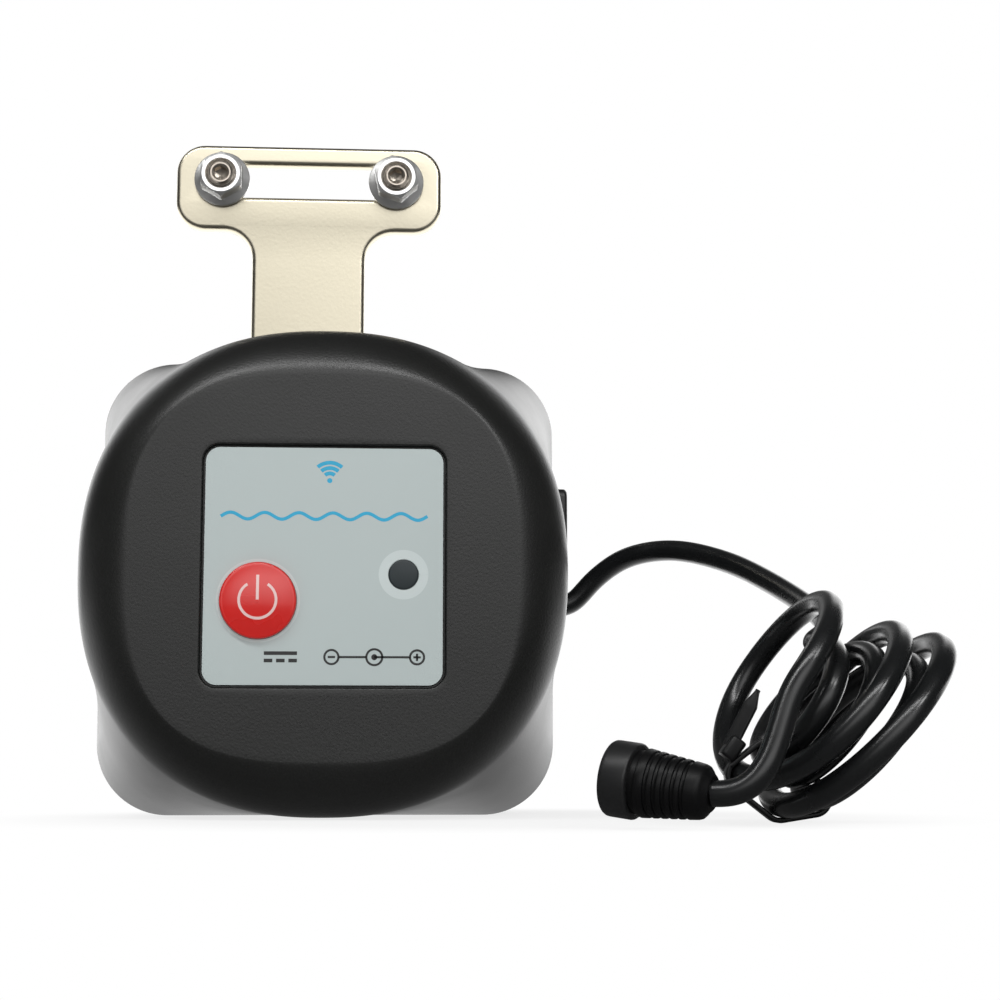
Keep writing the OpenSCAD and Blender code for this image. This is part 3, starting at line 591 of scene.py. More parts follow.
def drawn_metal() -> Tree:
    """Shader group for rolled metal: long faint lines as a height, with broad patches of plating.

    Returns:
        The group.
    """
    group, inn, out = node_group(Grain.DRAWN)
    link = group.links.new
    stretch = group.nodes.new("ShaderNodeVectorMath")
    stretch.operation = "MULTIPLY"
    stretch.inputs[1].default_value = LINE_STRETCH
    lines, patch = (group.nodes.new("ShaderNodeTexNoise") for _ in range(2))
    lines.inputs["Detail"].default_value = 3.0
    patch.inputs["Detail"].default_value = 5.0
    link(inn.outputs["Vector"], stretch.inputs[0])
    link(stretch.outputs[0], lines.inputs["Vector"])
    link(inn.outputs["Vector"], patch.inputs["Vector"])
    link(inn.outputs["Grain"], lines.inputs["Scale"])
    link(inn.outputs["Cloud"], patch.inputs["Scale"])
    link(lines.outputs[0], out.inputs["Height"])
    link(patch.outputs[0], out.inputs["Cloud"])
    return group


GROUPS = {Grain.MOULDED: moulded_grain(), Grain.DRAWN: drawn_metal()}


# Finishes


@dataclass(frozen=True)
class Finish:
    """A finish: linear colour, grain and clouds in waves per metre, relief in millimetres."""

    name: str
    colour: Colour
    roughness: float
    metallic: float = 0.0
    specular: float = 0.5
    coat: float = 0.0
    structure: Grain = Grain.MOULDED
    grain: float = 3500.0
    cloud: float = 40.0
    relief: float = 0.01
    rough_swing: float = 0.08
    tint_swing: float = 0.08
    coat_roughness: float = 0.12
    least_roughness: float = 0.03
    cloud_ends: Pair = (0.3, 0.7)
    bump: float = 0.6

    def material(self) -> bpy.types.Material:
        """Builds the material once and gives it back on later calls.

        Returns:
            The material.
        """
        name = f"finish_{self.name}"
        if name in bpy.data.materials:
            return bpy.data.materials[name]
        mat = bpy.data.materials.new(name)
        mat.use_nodes = True
        tree, nodes, link = mat.node_tree, mat.node_tree.nodes, mat.node_tree.links.new
        shader = nodes["Principled BSDF"]
        shader.inputs["Metallic"].default_value = self.metallic
        shader.inputs["Specular IOR Level"].default_value = self.specular
        shader.inputs["Coat Weight"].default_value = self.coat
        shader.inputs["Coat Roughness"].default_value = self.coat_roughness
        place = nodes.new("ShaderNodeTexCoord")
        surface = nodes.new("ShaderNodeGroup")
        surface.node_tree = GROUPS[self.structure]
        surface.inputs["Grain"].default_value = self.grain
        surface.inputs["Cloud"].default_value = self.cloud
        link(place.outputs["Object"], surface.inputs["Vector"])
        tint = nodes.new("ShaderNodeMix")
        tint.data_type = "RGBA"
        for end, factor in (("A_Color", 1 - self.tint_swing), ("B_Color", 1 + self.tint_swing)):
            shade = (*(min(1.0, c * factor) for c in self.colour), 1)
            by_id(tint.inputs, end).default_value = shade
        link(surface.outputs["Cloud"], by_id(tint.inputs, "Factor_Float"))
        link(by_id(tint.outputs, "Result_Color"), shader.inputs["Base Color"])
        low = max(self.least_roughness, self.roughness - self.rough_swing)
        levels = (low, self.roughness + self.rough_swing)
        swing = ramp(tree, surface.outputs["Cloud"], self.cloud_ends, levels, smooth=False)
        link(swing, shader.inputs["Roughness"])
        bump = nodes.new("ShaderNodeBump")
        bump.inputs["Strength"].default_value = self.bump
        bump.inputs["Distance"].default_value = self.relief * MM
        link(surface.outputs["Height"], bump.inputs["Height"])
        link(bump.outputs["Normal"], shader.inputs["Normal"])
        return mat


def ink(name: str, colour: Colour, roughness: float = 0.45) -> Finish:
    """A flat printed finish without relief."""
    return Finish(name, colour, roughness, relief=0.0)


def metal(name: str, colour: Colour, roughness: float, cloud: float, relief: float) -> Finish:
    """A rolled or turned metal.

    Args:
        name: Name of the finish.
        colour: Linear colour.
        roughness: Middle roughness.
        cloud: Patches of plating per metre.
        relief: Height of the drawn lines.

    Returns:
        The finish.
    """
    return Finish(
        name, colour, roughness, metallic=1.0, structure=Grain.DRAWN, grain=1500.0, cloud=cloud,
        relief=relief,
    )


SHELL = Finish(
    "shell", (0.0105, 0.0108, 0.0102), 0.36, grain=2300.0, relief=0.035, rough_swing=0.05
)
FILM = Finish("label", (0.44, 0.5, 0.495), 0.42, relief=0.004, grain=2500.0, tint_swing=0.03)
INK_BLUE = ink("ink_blue", (0.02, 0.36, 0.58))
INK_BLACK = ink("ink_black", (0.02, 0.02, 0.02))
INK_PALE = ink("ink_pale", (0.78, 0.55, 0.53), 0.4)
# pale ink for the ring printed round the lamp, and for a painted highlight ring on the button's
# edge
PALE_PRINT_AND_HIGHLIGHT = ink("pale_ring_and_highlight", (0.53, 0.59, 0.585), 0.42)
WINDOW = Finish("window", (0.022, 0.03, 0.033), 0.4, specular=0.35, relief=0.0)
LAMP = Finish("lamp", (0.7, 0.72, 0.7), 0.2, coat=0.4, relief=0.0)
RED = Finish("red_button", (0.62, 0.008, 0.005), 0.3, coat=0.6, relief=0.003)
TAB = Finish("tab", (0.012, 0.0125, 0.0125), 0.42, relief=0.008)
ZINC = Finish(
    "zinc", (0.55, 0.508, 0.4), 0.32, metallic=1.0, grain=1500.0, cloud=90.0, relief=0.022,
    rough_swing=0.04, tint_swing=0.07,
)
STUD = metal("stud", (0.5, 0.45, 0.39), 0.38, 200.0, 0.003)
STEEL = metal("steel", (0.36, 0.355, 0.34), 0.36, 150.0, 0.004)
BRIGHT = metal("bright", (0.9, 0.9, 0.89), 0.42, 200.0, 0.003)
SCREW = metal("screw", (0.47, 0.465, 0.44), 0.34, 150.0, 0.003)
BRASS = metal("brass", (0.72, 0.5, 0.2), 0.28, 150.0, 0.004)
GEAR = Finish("gear", (0.72, 0.71, 0.67), 0.4, relief=0.006)
BOARD = Finish("board", (0.012, 0.1, 0.035), 0.4, coat=0.3, relief=0.006)
MODULE = Finish("module", (0.5, 0.5, 0.49), 0.35, metallic=1.0, relief=0.003)
SWITCH = Finish("switch", (0.025, 0.025, 0.027), 0.45)
CAP = Finish("cap", (0.03, 0.03, 0.032), 0.4)
RUBBER = Finish("rubber", (0.013, 0.013, 0.013), 0.6, relief=0.012)
JACKET = Finish("cord", (0.008, 0.0086, 0.009), 0.27, relief=0.012, grain=1200.0, cloud=120.0)
NYLON = Finish("tie", (0.006, 0.0062, 0.0065), 0.34, specular=0.35, relief=0.006)
JACK = Finish("jack", (0.004, 0.004, 0.0043), 0.42, specular=0.2, relief=0.006)
COLLAR = Finish("collar", (0.013, 0.0132, 0.0137), 0.42, specular=0.4, relief=0.006)
FLOOR = Finish(
    "floor", (0.9, 0.9, 0.9), 0.9, specular=0.0, relief=0.0, tint_swing=0.0, rough_swing=0.0
)


def dress(piece: Piece, finish: Finish, body: Body, slot: str, *nodes: str) -> Piece:
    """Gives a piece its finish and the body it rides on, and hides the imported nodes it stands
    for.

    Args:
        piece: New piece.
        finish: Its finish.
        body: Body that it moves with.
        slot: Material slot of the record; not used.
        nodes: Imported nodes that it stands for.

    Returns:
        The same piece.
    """
    piece.data.materials.clear()
    piece.data.materials.append(finish.material())
    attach(piece, body.value)
    if nodes:
        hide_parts(*nodes)
    return piece


# Housing


def power_radius(half: float, power: float, turn: Array) -> Array:
    """Radius where both distances, raised to a power, add up to a constant: 2 gives a circle."""
    return half / (np.abs(np.cos(turn)) ** power + np.abs(np.sin(turn)) ** power) ** (1 / power)


def square_radius(half: float | Array, corner: float | Array, turn: Array) -> Array:
    """Radius of a square with round corners: flat side up to the corner, then the corner's circle.

    Args:
        half: Half of the width.
        corner: Radius of the corners.
        turn: Angles in radians.

    Returns:
        One radius for each angle.
    """
    q = np.mod(turn, np.pi / 2)
    f, u = np.minimum(q, np.pi / 2 - q), half - corner
    rest = np.maximum(corner**2 - (u * (np.cos(f) - np.sin(f))) ** 2, 0.0)
    round_part = u * (np.cos(f) + np.sin(f)) + np.sqrt(rest)
    return np.where(half * np.tan(f) < u, half / np.cos(f), round_part)


def corner_angles(columns: int) -> Array:
    """Even angles moved by a sine of four waves, so that they lie closer at the corners."""
    even = even_angles(columns)
    return even + CORNER_SHIFT * np.sin(4 * even)


def housing_rings(depths: Array, radii: Array, turn: Array) -> Array:
    """Points round the middle of the face, from depth behind the face, radius and angle."""
    y = np.broadcast_to(FRONT_Y + depths, radii.shape)
    return np.stack([radii * np.cos(turn), y, MID_Z + radii * np.sin(turn)], -1)


@dataclass
class HousingShell:
    """Front shell: label recess, flat face, shoulder, and walls that grow into a square."""

    cap: float = 82.4
    tub: float = TUB
    tub_corner: float = TUB_CORNER
    face: float = 64.0
    face_power: float = 2.9
    cap_power: float = 2.3
    shoulder: float = 9.0
    depth: float = SEAM_AT
    wall: float = WALL
    recess: float = 20.1
    recess_corner: float = 2.9
    recess_depth: float = 1.0
    recess_root: float = 0.2
    edge: float = 0.25
    seam: float = SEAM
    pull: Pair = (0.3, 0.55)  # shares of the way to the knee, from face and wall
    tab_hole: Triple = (7.5, 11.9, 1.75)  # width, height and corner
    gland_hole: float = 4.08
    hole_steps: Triple = (34.0, 39.0, 48.0)  # places along both cuts, to the right
    columns: int = 640

    def line(self, turn: Array, inset: float, share: Array) -> tuple[Array, Array]:
        """Shoulder: a cubic whose handles point at the knee where face and wall would meet.

        Args:
            turn: Angles in radians.
            inset: How far the surface lies inside the outer one.
            share: Shares of the way round the shoulder, from 0 to 1, as a column.

        Returns:
            Depths as a column, and radii by share and angle.
        """
        face = power_radius(self.face / 2, self.face_power, turn) - inset / 2
        cap = power_radius(self.cap / 2, self.cap_power, turn) - inset
        tub = square_radius(self.tub / 2, self.tub_corner, turn) - inset
        slope = (tub - cap) / (self.depth - self.shoulder)
        knee = cap - slope * (self.shoulder - inset)
        p, q = self.pull
        bend = self.shoulder + q * (inset - self.shoulder)
        knots = face, face + p * (knee - face), cap + q * (knee - cap), cap
        return cubic(share, (inset, inset, bend, self.shoulder)), cubic(share, knots)

    def recess_line(self, turn: Array, grow: float | Array) -> Array:
        """Radius of the recess, grown all round."""
        return square_radius(self.recess + grow, self.recess_corner + grow, turn)

    def rings(self, turn: Array) -> tuple[Array, Array]:
        """Rings from the recess floor out over the face, shoulder and wall, and back up the inside.

        Args:
            turn: Angles in radians.

        Returns:
            Depths as a column, and radii by ring and angle.
        """
        left, fall = (column[:, None] for column in quarter(self.recess_root, steps=4))
        floor = self.recess_depth - fall, self.recess_line(turn, -left)
        left, fall = (column[:, None] for column in quarter(self.edge, steps=6))
        rim = left, self.recess_line(turn, fall)
        inner = self.recess_line(turn, self.edge)
        outer = power_radius(self.face / 2, self.face_power, turn)
        share = np.linspace(0, 1, 12)[1:-1, None]
        face = 0 * share, inner + share * (outer - inner)
        shoulder = self.line(turn, 0.0, np.linspace(0, 1, 48)[:, None])
        cap, tub = shoulder[1][-1], square_radius(self.tub / 2, self.tub_corner, turn)
        deep = np.linspace(self.shoulder, self.depth - self.seam, 22)[1:, None]
        wall = deep, cap + (tub - cap) * (deep - self.shoulder) / (self.depth - self.shoulder)
        back = np.full((2, 1), self.depth), np.stack([tub - self.seam, tub - self.wall])
        inside = self.line(turn, self.wall, np.linspace(1, 0, 14)[:, None])
        depths, radii = zip(floor, rim, face, shoulder, wall, back, inside)
        return np.vstack(depths), np.vstack(radii)

    def build(self) -> list[Piece]:
        """Skins the rings and cuts the openings of the tab and the gland.

        Returns:
            The shell.
        """
        turn = corner_angles(self.columns)
        shell = skin("housing_front", housing_rings(*self.rings(turn), turn), SHELL_SHARP)
        start, _, end = self.hole_steps
        tab = swept(
            "tab_cut", np.array([(x, *TAB_AT) for x in self.hole_steps]),
            rounded_outline(*self.tab_hole), np.array(INWARDS),
        )
        bore = [(0.0, self.gland_hole), (end - start, self.gland_hole)]
        gland = turned("gland_cut", bore, (start, *GLAND_AT), ACROSS, steps=96)
        return [dress(cut(shell, tab, gland), SHELL, Body.HOUSING, "shell", "front_shell")]


@dataclass
class RearCover:
    """Square back half with a rounded back edge, counterbores and the seat of the shaft's seal."""

    size: float = TUB
    corner: float = TUB_CORNER
    front: float = SEAM_AT
    back: float = 62.0
    wall: float = WALL
    floor: float = 3.0
    seam: float = SEAM
    fillet: float = 1.5
    screw_at: float = 30.6
    screw_hole: float = 1.7
    counterbore: float = 3.15
    bore_depth: float = 2.2
    bore_ends: Pair = (-3.0, 3.2)  # from the floor of the counterbore
    seat: float = 7.04
    seat_ends: Pair = (-6.0, 4.0)  # from the back
    columns: int = 480

    def build(self) -> list[Piece]:
        """Rings of a rounded square that shrink round the back edge by a quarter circle.

        Returns:
            The cover.
        """
        turn, half, at = corner_angles(self.columns), self.size / 2, self.screw_at
        steps = [
            (self.back - self.floor, -self.wall), (self.front, -self.wall),
            (self.front, -self.seam), (self.front + self.seam, 0.0),
        ]
        bend = zip(*quarter(self.fillet, steps=9))
        steps += [(self.back - left, -fall) for left, fall in bend]
        depths, grow = np.array(steps).T[..., None]
        radii = square_radius(half + grow, self.corner + grow, turn)
        cover = skin("housing_back", housing_rings(depths, radii, turn), SHELL_SHARP)
        (start, end), (low, high) = self.bore_ends, self.seat_ends
        bore = [(start, self.screw_hole), (0.0, self.screw_hole)]
        bore += [(0.0, self.counterbore), (end, self.counterbore)]
        deep = FRONT_Y + self.back - self.bore_depth
        holes = [
            turned("bore", bore, (x, deep, MID_Z + z), INWARDS, steps=64)
            for x in (-at, at) for z in (-at, at)
        ]
        seat = [(low, self.seat), (high, self.seat)]
        holes.append(turned("seat", seat, (SHAFT_X, FRONT_Y + self.back, MID_Z), INWARDS))
        return [dress(cut(cover, *holes), SHELL, Body.HOUSING, "shell", "rear_cover")]


@dataclass
class LabelPrint:
    """Generic signs printed on the label film, placed from its middle to the right and up, with a
    pale ring printed round the lamp and a painted highlight ring round the button.
    """

    depth: float = 0.4
    proud: float = 0.015
    fan_at: Pair = (0.8, 14.15)
    fan_dot: float = 0.42
    fan_arcs: Triple = (1.2, 2.1, 3.0)  # radii
    fan_spread: Pair = (48.0, 132.0)  # degrees
    fan_stroke: float = 0.64
    rule_half: float = 17.0
    rule_up: float = 8.2
    rule_swing: float = 0.55
    rule_wave: float = 5.6
    rule_stroke: float = 0.55
    bar: Triple = (-9.6, -4.2, -14.4)  # start, end and height
    dash: Triple = (-9.6, -8.2, -15.6)  # likewise, for the first of three
    dash_step: float = 2.0
    bar_stroke: float = 0.6
    poles: Triple = (1.4, 8.4, 15.4)  # middles of the rings
    poles_up: float = -15.0
    pole_small: float = 1.15
    pole_large: float = 1.3
    pole_dot: float = 0.5
    pole_mark: float = 0.6
    pole_stroke: float = 0.36
    lamp_halo: Pair = (3.35, 1.5)  # radius and width
    button_highlight_ring: Pair = (6.62, 0.5)  # painted highlight: pale ring on the button's edge that also covers the shaded gap round it; radius and width

    def place(self, flat: Array) -> Array:
        """Puts flat points on the film, a little in front of it."""
        y = FRONT_Y + self.depth - self.proud
        return np.stack([flat[..., 0], np.full(flat.shape[:-1], y), MID_Z + flat[..., 1]], -1)

    def dot(self, at: Pair, radius: float) -> Piece:
        """A flat dot: rings that shrink from its outline to its middle.

        Args:
            at: Place of the dot.
            radius: Its radius.

        Returns:
            The dot.
        """
        outline = circle(radius, steps=32) + at
        mid, share = outline.mean(0), np.array([1.0, 0.5])[:, None, None]
        rings = self.place(mid + share * (outline - mid))
        points = np.vstack([rings.reshape(-1, 3), self.place(mid[None])])
        n = len(outline)
        k = np.arange(n)
        faces = quads(2, n, True).tolist()
        faces += np.stack([n + k, n + (k + 1) % n, np.full(n, 2 * n)], -1).tolist()
        return put("dot", points, faces)

    def stroke(self, line: Array, width: float) -> Piece:
        """A stroke of even width: a flat line moved to both sides by half the width.

        Args:
            line: Points of the line.
            width: Width of the stroke.

        Returns:
            The stroke.
        """
        along = unit(np.gradient(line, axis=0))
        side = np.stack([-along[:, 1], along[:, 0]], -1) * width / 2
        rows = self.place(np.stack([line - side, line + side]))
        return put("stroke", rows.reshape(-1, 3), quads(2, len(line), False).tolist())

    def ring(self, at: Pair, radius: float, width: float) -> Piece:
        """A closed stroke: a circle round a place, whose last point is its first."""
        line = circle(radius, steps=96)
        return self.stroke(np.vstack([line, line[:1]]) + at, width)

    def level(self, start: float, end: float, up: float, width: float) -> Piece:
        """A straight level stroke between two places."""
        return self.stroke(np.array([[start, up], [end, up]]), width)

    def radio_sign(self) -> list[Piece]:
        """A dot under three arcs.

        Returns:
            Its strokes.
        """
        arcs = [arc(*self.fan_at, r, *self.fan_spread, steps=32) for r in self.fan_arcs]
        fan = [self.stroke(line, self.fan_stroke) for line in arcs]
        return [self.dot(self.fan_at, self.fan_dot)] + fan

    def wave_rule(self) -> Piece:
        """A level rule that swings up and down as a sine.

        Returns:
            The rule.
        """
        x = np.linspace(-self.rule_half, self.rule_half, 240)
        up = self.rule_up + self.rule_swing * np.sin(x * 2 * np.pi / self.rule_wave)
        return self.stroke(np.stack([x, up], -1), self.rule_stroke)

    def current_sign(self) -> list[Piece]:
        """The direct-current sign: a bar over three dashes.

        Returns:
            Its strokes.
        """
        start, end, up = self.dash
        moves = [self.dash_step * k for k in range(3)]
        bars = [self.bar] + [(start + move, end + move, up) for move in moves]
        return [self.level(*bar, self.bar_stroke) for bar in bars]

    def polarity_sign(self) -> list[Piece]:
        """The polarity sign: a minus ring, a ring with a dot and a plus ring, joined by two arms.

        Returns:
            Its strokes.
        """
        minus, middle, plus = self.poles
        small, large, mark = self.pole_small, self.pole_large, self.pole_mark
        up, width = self.poles_up, self.pole_stroke
        sizes = zip(self.poles, (small, large, small))
        signs = [self.ring((x, up), radius, width) for x, radius in sizes]
        signs.append(self.dot((middle, up), self.pole_dot))
        arms = [(minus + small, middle - large), (middle, plus - small)]
        arms += [(minus - mark, minus + mark), (plus - mark, plus + mark)]
        signs += [self.level(start, end, up, width) for start, end in arms]
        signs.append(self.stroke(np.array([[plus, up - mark], [plus, up + mark]]), width))
        return signs

    def build(self) -> list[Piece]:
        """Joins the signs by their ink, and adds the pale ring printed round the lamp and a painted
        highlight ring round the button's edge.

        Returns:
            The printed pieces.
        """
        blue = joined("print_blue", *self.radio_sign(), self.wave_rule())
        black = joined("print_black", *self.current_sign(), *self.polarity_sign())
        # the button's ring is a painted highlight on its rim, laid over the shaded gap round it
        pale_ring_and_highlight = joined(
            "print_ring_and_highlight", self.ring(LAMP_AT, *self.lamp_halo),
            self.ring(BUTTON_AT, *self.button_highlight_ring),
        )
        inks = ((blue, INK_BLUE), (black, INK_BLACK), (pale_ring_and_highlight, PALE_PRINT_AND_HIGHLIGHT))
        return [dress(piece, finish, Body.HOUSING, "label") for piece, finish in inks]


@dataclass
class PowerButton:
    """Red domed button with a raised power sign."""

    radius: float = 6.3
    top: float = -1.5
    dome: float = 1.0
    edge: float = 0.45
    edge_start: float = 0.32  # radians
    back: float = 2.6
    sign_ring: Pair = (2.8, 3.25)  # inner and outer radius
    sign_gap: float = 33.0  # half of the opening, in degrees
    sign_stem: Pair = (0.24, 4.1)  # half of the width, and the height
    sign_proud: float = 0.02

    def height(self, r: Array) -> Array:
        """Depth of the dome behind the face, by distance from its middle: a piece of a sphere."""
        ball = (self.radius**2 + self.dome**2) / (2 * self.dome)
        return self.top + ball - np.sqrt(ball**2 - np.asarray(r, float) ** 2)

    def strip(self, flat: Array) -> Piece:
        """Lays a flat strip on the dome.

        Args:
            flat: Points by row, column and axis, from the middle of the button.

        Returns:
            The strip.
        """
        x, z = BUTTON_AT
        depth = self.height(np.hypot(flat[..., 0], flat[..., 1])) - self.sign_proud
        points = np.stack([x + flat[..., 0], FRONT_Y + depth, MID_Z + z + flat[..., 1]], -1)
        return put("strip", points.reshape(-1, 3), quads(*flat.shape[:2], False).tolist())

    def cap(self) -> Piece:
        """A turned dome whose edge is rounded by a part of a circle.

        Returns:
            The button.
        """
        x, z = BUTTON_AT
        r = np.linspace(HUB, self.radius - self.edge, 40)
        base = float(self.height(r[-1])) - self.edge * (1 - np.sin(np.pi / 2 - self.edge_start))
        profile = list(zip(self.height(r), r))
        profile += [
            (base + self.edge * (1 - np.cos(a)), self.radius - self.edge + self.edge * np.sin(a))
            for a in np.linspace(self.edge_start, np.pi / 2, 9)
        ]
        profile += [(self.back, self.radius), (self.back, HUB)]
        return turned("button_cap", profile, (x, FRONT_Y, MID_Z + z), INWARDS, steps=192)

    def sign(self) -> Piece:
        """An open ring and a stem, as strips that follow the dome.

        Returns:
            The sign.
        """
        turn = np.radians(np.linspace(90 + self.sign_gap, 450 - self.sign_gap, 96))
        wide = np.linspace(*self.sign_ring, 5)[:, None]
        ring = np.stack([wide * np.cos(turn), wide * np.sin(turn)], -1)
        half, tall = self.sign_stem
        stem = np.meshgrid(np.linspace(-half, half, 5), np.linspace(0.0, tall, 20), indexing="ij")
        return joined("power_sign", self.strip(ring), self.strip(np.stack(stem, -1)))

    def build(self) -> list[Piece]:
        """Builds the button and its sign.

        Returns:
            Both pieces.
        """
        return [
            dress(self.cap(), RED, Body.BUTTON, "red_button", "power_button"),
            dress(self.sign(), INK_PALE, Body.BUTTON, "red_button"),
        ]


@dataclass
class SmallFittings:
    """Lamp window, release tab and the cord's gland."""

    lens_r: float = 2.3
    lens_front: float = 0.12
    lens_curve: float = 0.03
    lens_edge: Profile = ((0.36, 2.42), (0.5, 2.46), (2.6, 2.46), (2.6, HUB))
    tab_w: float = 7.0
    tab_h: float = 11.4
    tab_root: Pair = (37.2, 39.5)  # straight stretch, to the right
    tab_out: float = 43.1
    tab_edge: float = 0.7
    tab_corner: float = 1.5
    tab_shrink: float = 0.6  # share of the edge that the corners lose
    lip: Profile = (  # place to the right, and radius
        (37.7, 1.95), (37.7, 4.0), (42.0, 4.0), (42.3, 3.92), (42.55, 3.7), (42.7, 3.4),
        (42.7, 2.75), (42.5, 2.45), (41.7, 2.1), (37.7, 1.95),
    )

    def window(self) -> Piece:
        """A turned lens whose depth grows with the square of the radius.

        Returns:
            The window.
        """
        r, (x, z) = np.linspace(HUB, self.lens_r, 16), LAMP_AT
        profile = [*zip(self.lens_front + self.lens_curve * r**2, r), *self.lens_edge]
        return turned("lamp_lens", profile, (x, FRONT_Y, MID_Z + z), INWARDS, steps=96)

    def tab(self) -> Piece:
        """A block whose outline shrinks round its outer edge by a quarter circle.

        Returns:
            The tab.
        """
        (left, fall), (y, z) = quarter(self.tab_edge, steps=7), TAB_AT
        outs = np.concatenate([self.tab_root, self.tab_out - left])
        grow = np.concatenate([[0, 0], -fall])
        rings = []
        for x, g in zip(outs, grow):
            corner = self.tab_corner + self.tab_shrink * g
            flat = rounded_outline(self.tab_w + 2 * g, self.tab_h + 2 * g, corner)
            rings.append(np.stack([np.full(len(flat), x), y + flat[:, 0], z + flat[:, 1]], -1))
        return skin("release_tab", np.array(rings))

    def build(self) -> list[Piece]:
        """Builds the lens, the tab and a lipped grommet.

        Returns:
            The three fittings.
        """
        window, tab = self.window(), self.tab()
        grommet = turned("cord_grommet", self.lip, (0.0, *GLAND_AT), ACROSS, steps=96)
        return [
            dress(window, WINDOW, Body.HOUSING, "window", "led_window"),
            dress(tab, TAB, Body.RELEASE, "tab", "release_button"),
            dress(grommet, RUBBER, Body.HOUSING, "rubber", "cable_gland"),
        ]


# Bracket and fasteners


@dataclass
class Bracket:
    """Plated steel plate: square foot, stem and slotted head, with filleted inside corners."""

    foot: float = 46.0
    stem: float = 22.4
    head: float = 53.0
    head_low: float = 73.7
    head_top: float = 91.1
    head_corner: float = 5.6
    fillet: float = 6.0
    slot_r: float = 3.3
    shaft_hole: float = 12.0
    screw_hole: float = 2.1
    screw_at: float = 17.0
    edge: float = 0.95

    def build(self) -> list[Piece]:
        """Right half of the outline as arcs from foot to head, mirrored, with its holes.

        Returns:
            The plate.
        """
        h, f, s = self.foot / 2, self.fillet, self.stem / 2
        c = (self.foot - self.stem) / 2 - f
        w, k = self.head / 2, self.head_corner
        right = np.vstack([
            arc(h - c, c - h, c, -90, 0), arc(h - c, h - c, c, 0, 90),
            arc(s + f, h + f, f, -90, -180), arc(s + f, self.head_low - f, f, 180, 90),
            arc(w - k, self.head_low + k, k, -90, 0), arc(w - k, self.head_top - k, k, 0, 90),
        ])
        slot = np.vstack([
            arc(STUD_REACH, STUD_UP, self.slot_r, -90, 90, steps=24),
            arc(-STUD_REACH, STUD_UP, self.slot_r, 90, 270, steps=24),
        ])
        outlines = [np.vstack([right, right[::-1] * [-1, 1]]), slot]
        outlines.append(circle(self.shaft_hole, steps=96))
        places = (-self.screw_at, self.screw_at)
        hole = circle(self.screw_hole, steps=40)
        outlines += [hole + [x, z] for x in places for z in places]
        outlines = [line + np.array([SHAFT_X, MID_Z]) for line in outlines]
        steel = plate("bracket_plate", outlines, PLATE_FRONT, PLATE_BACK, self.edge)
        return [dress(steel, ZINC, Body.HOUSING, "zinc", "mounting_bracket")]


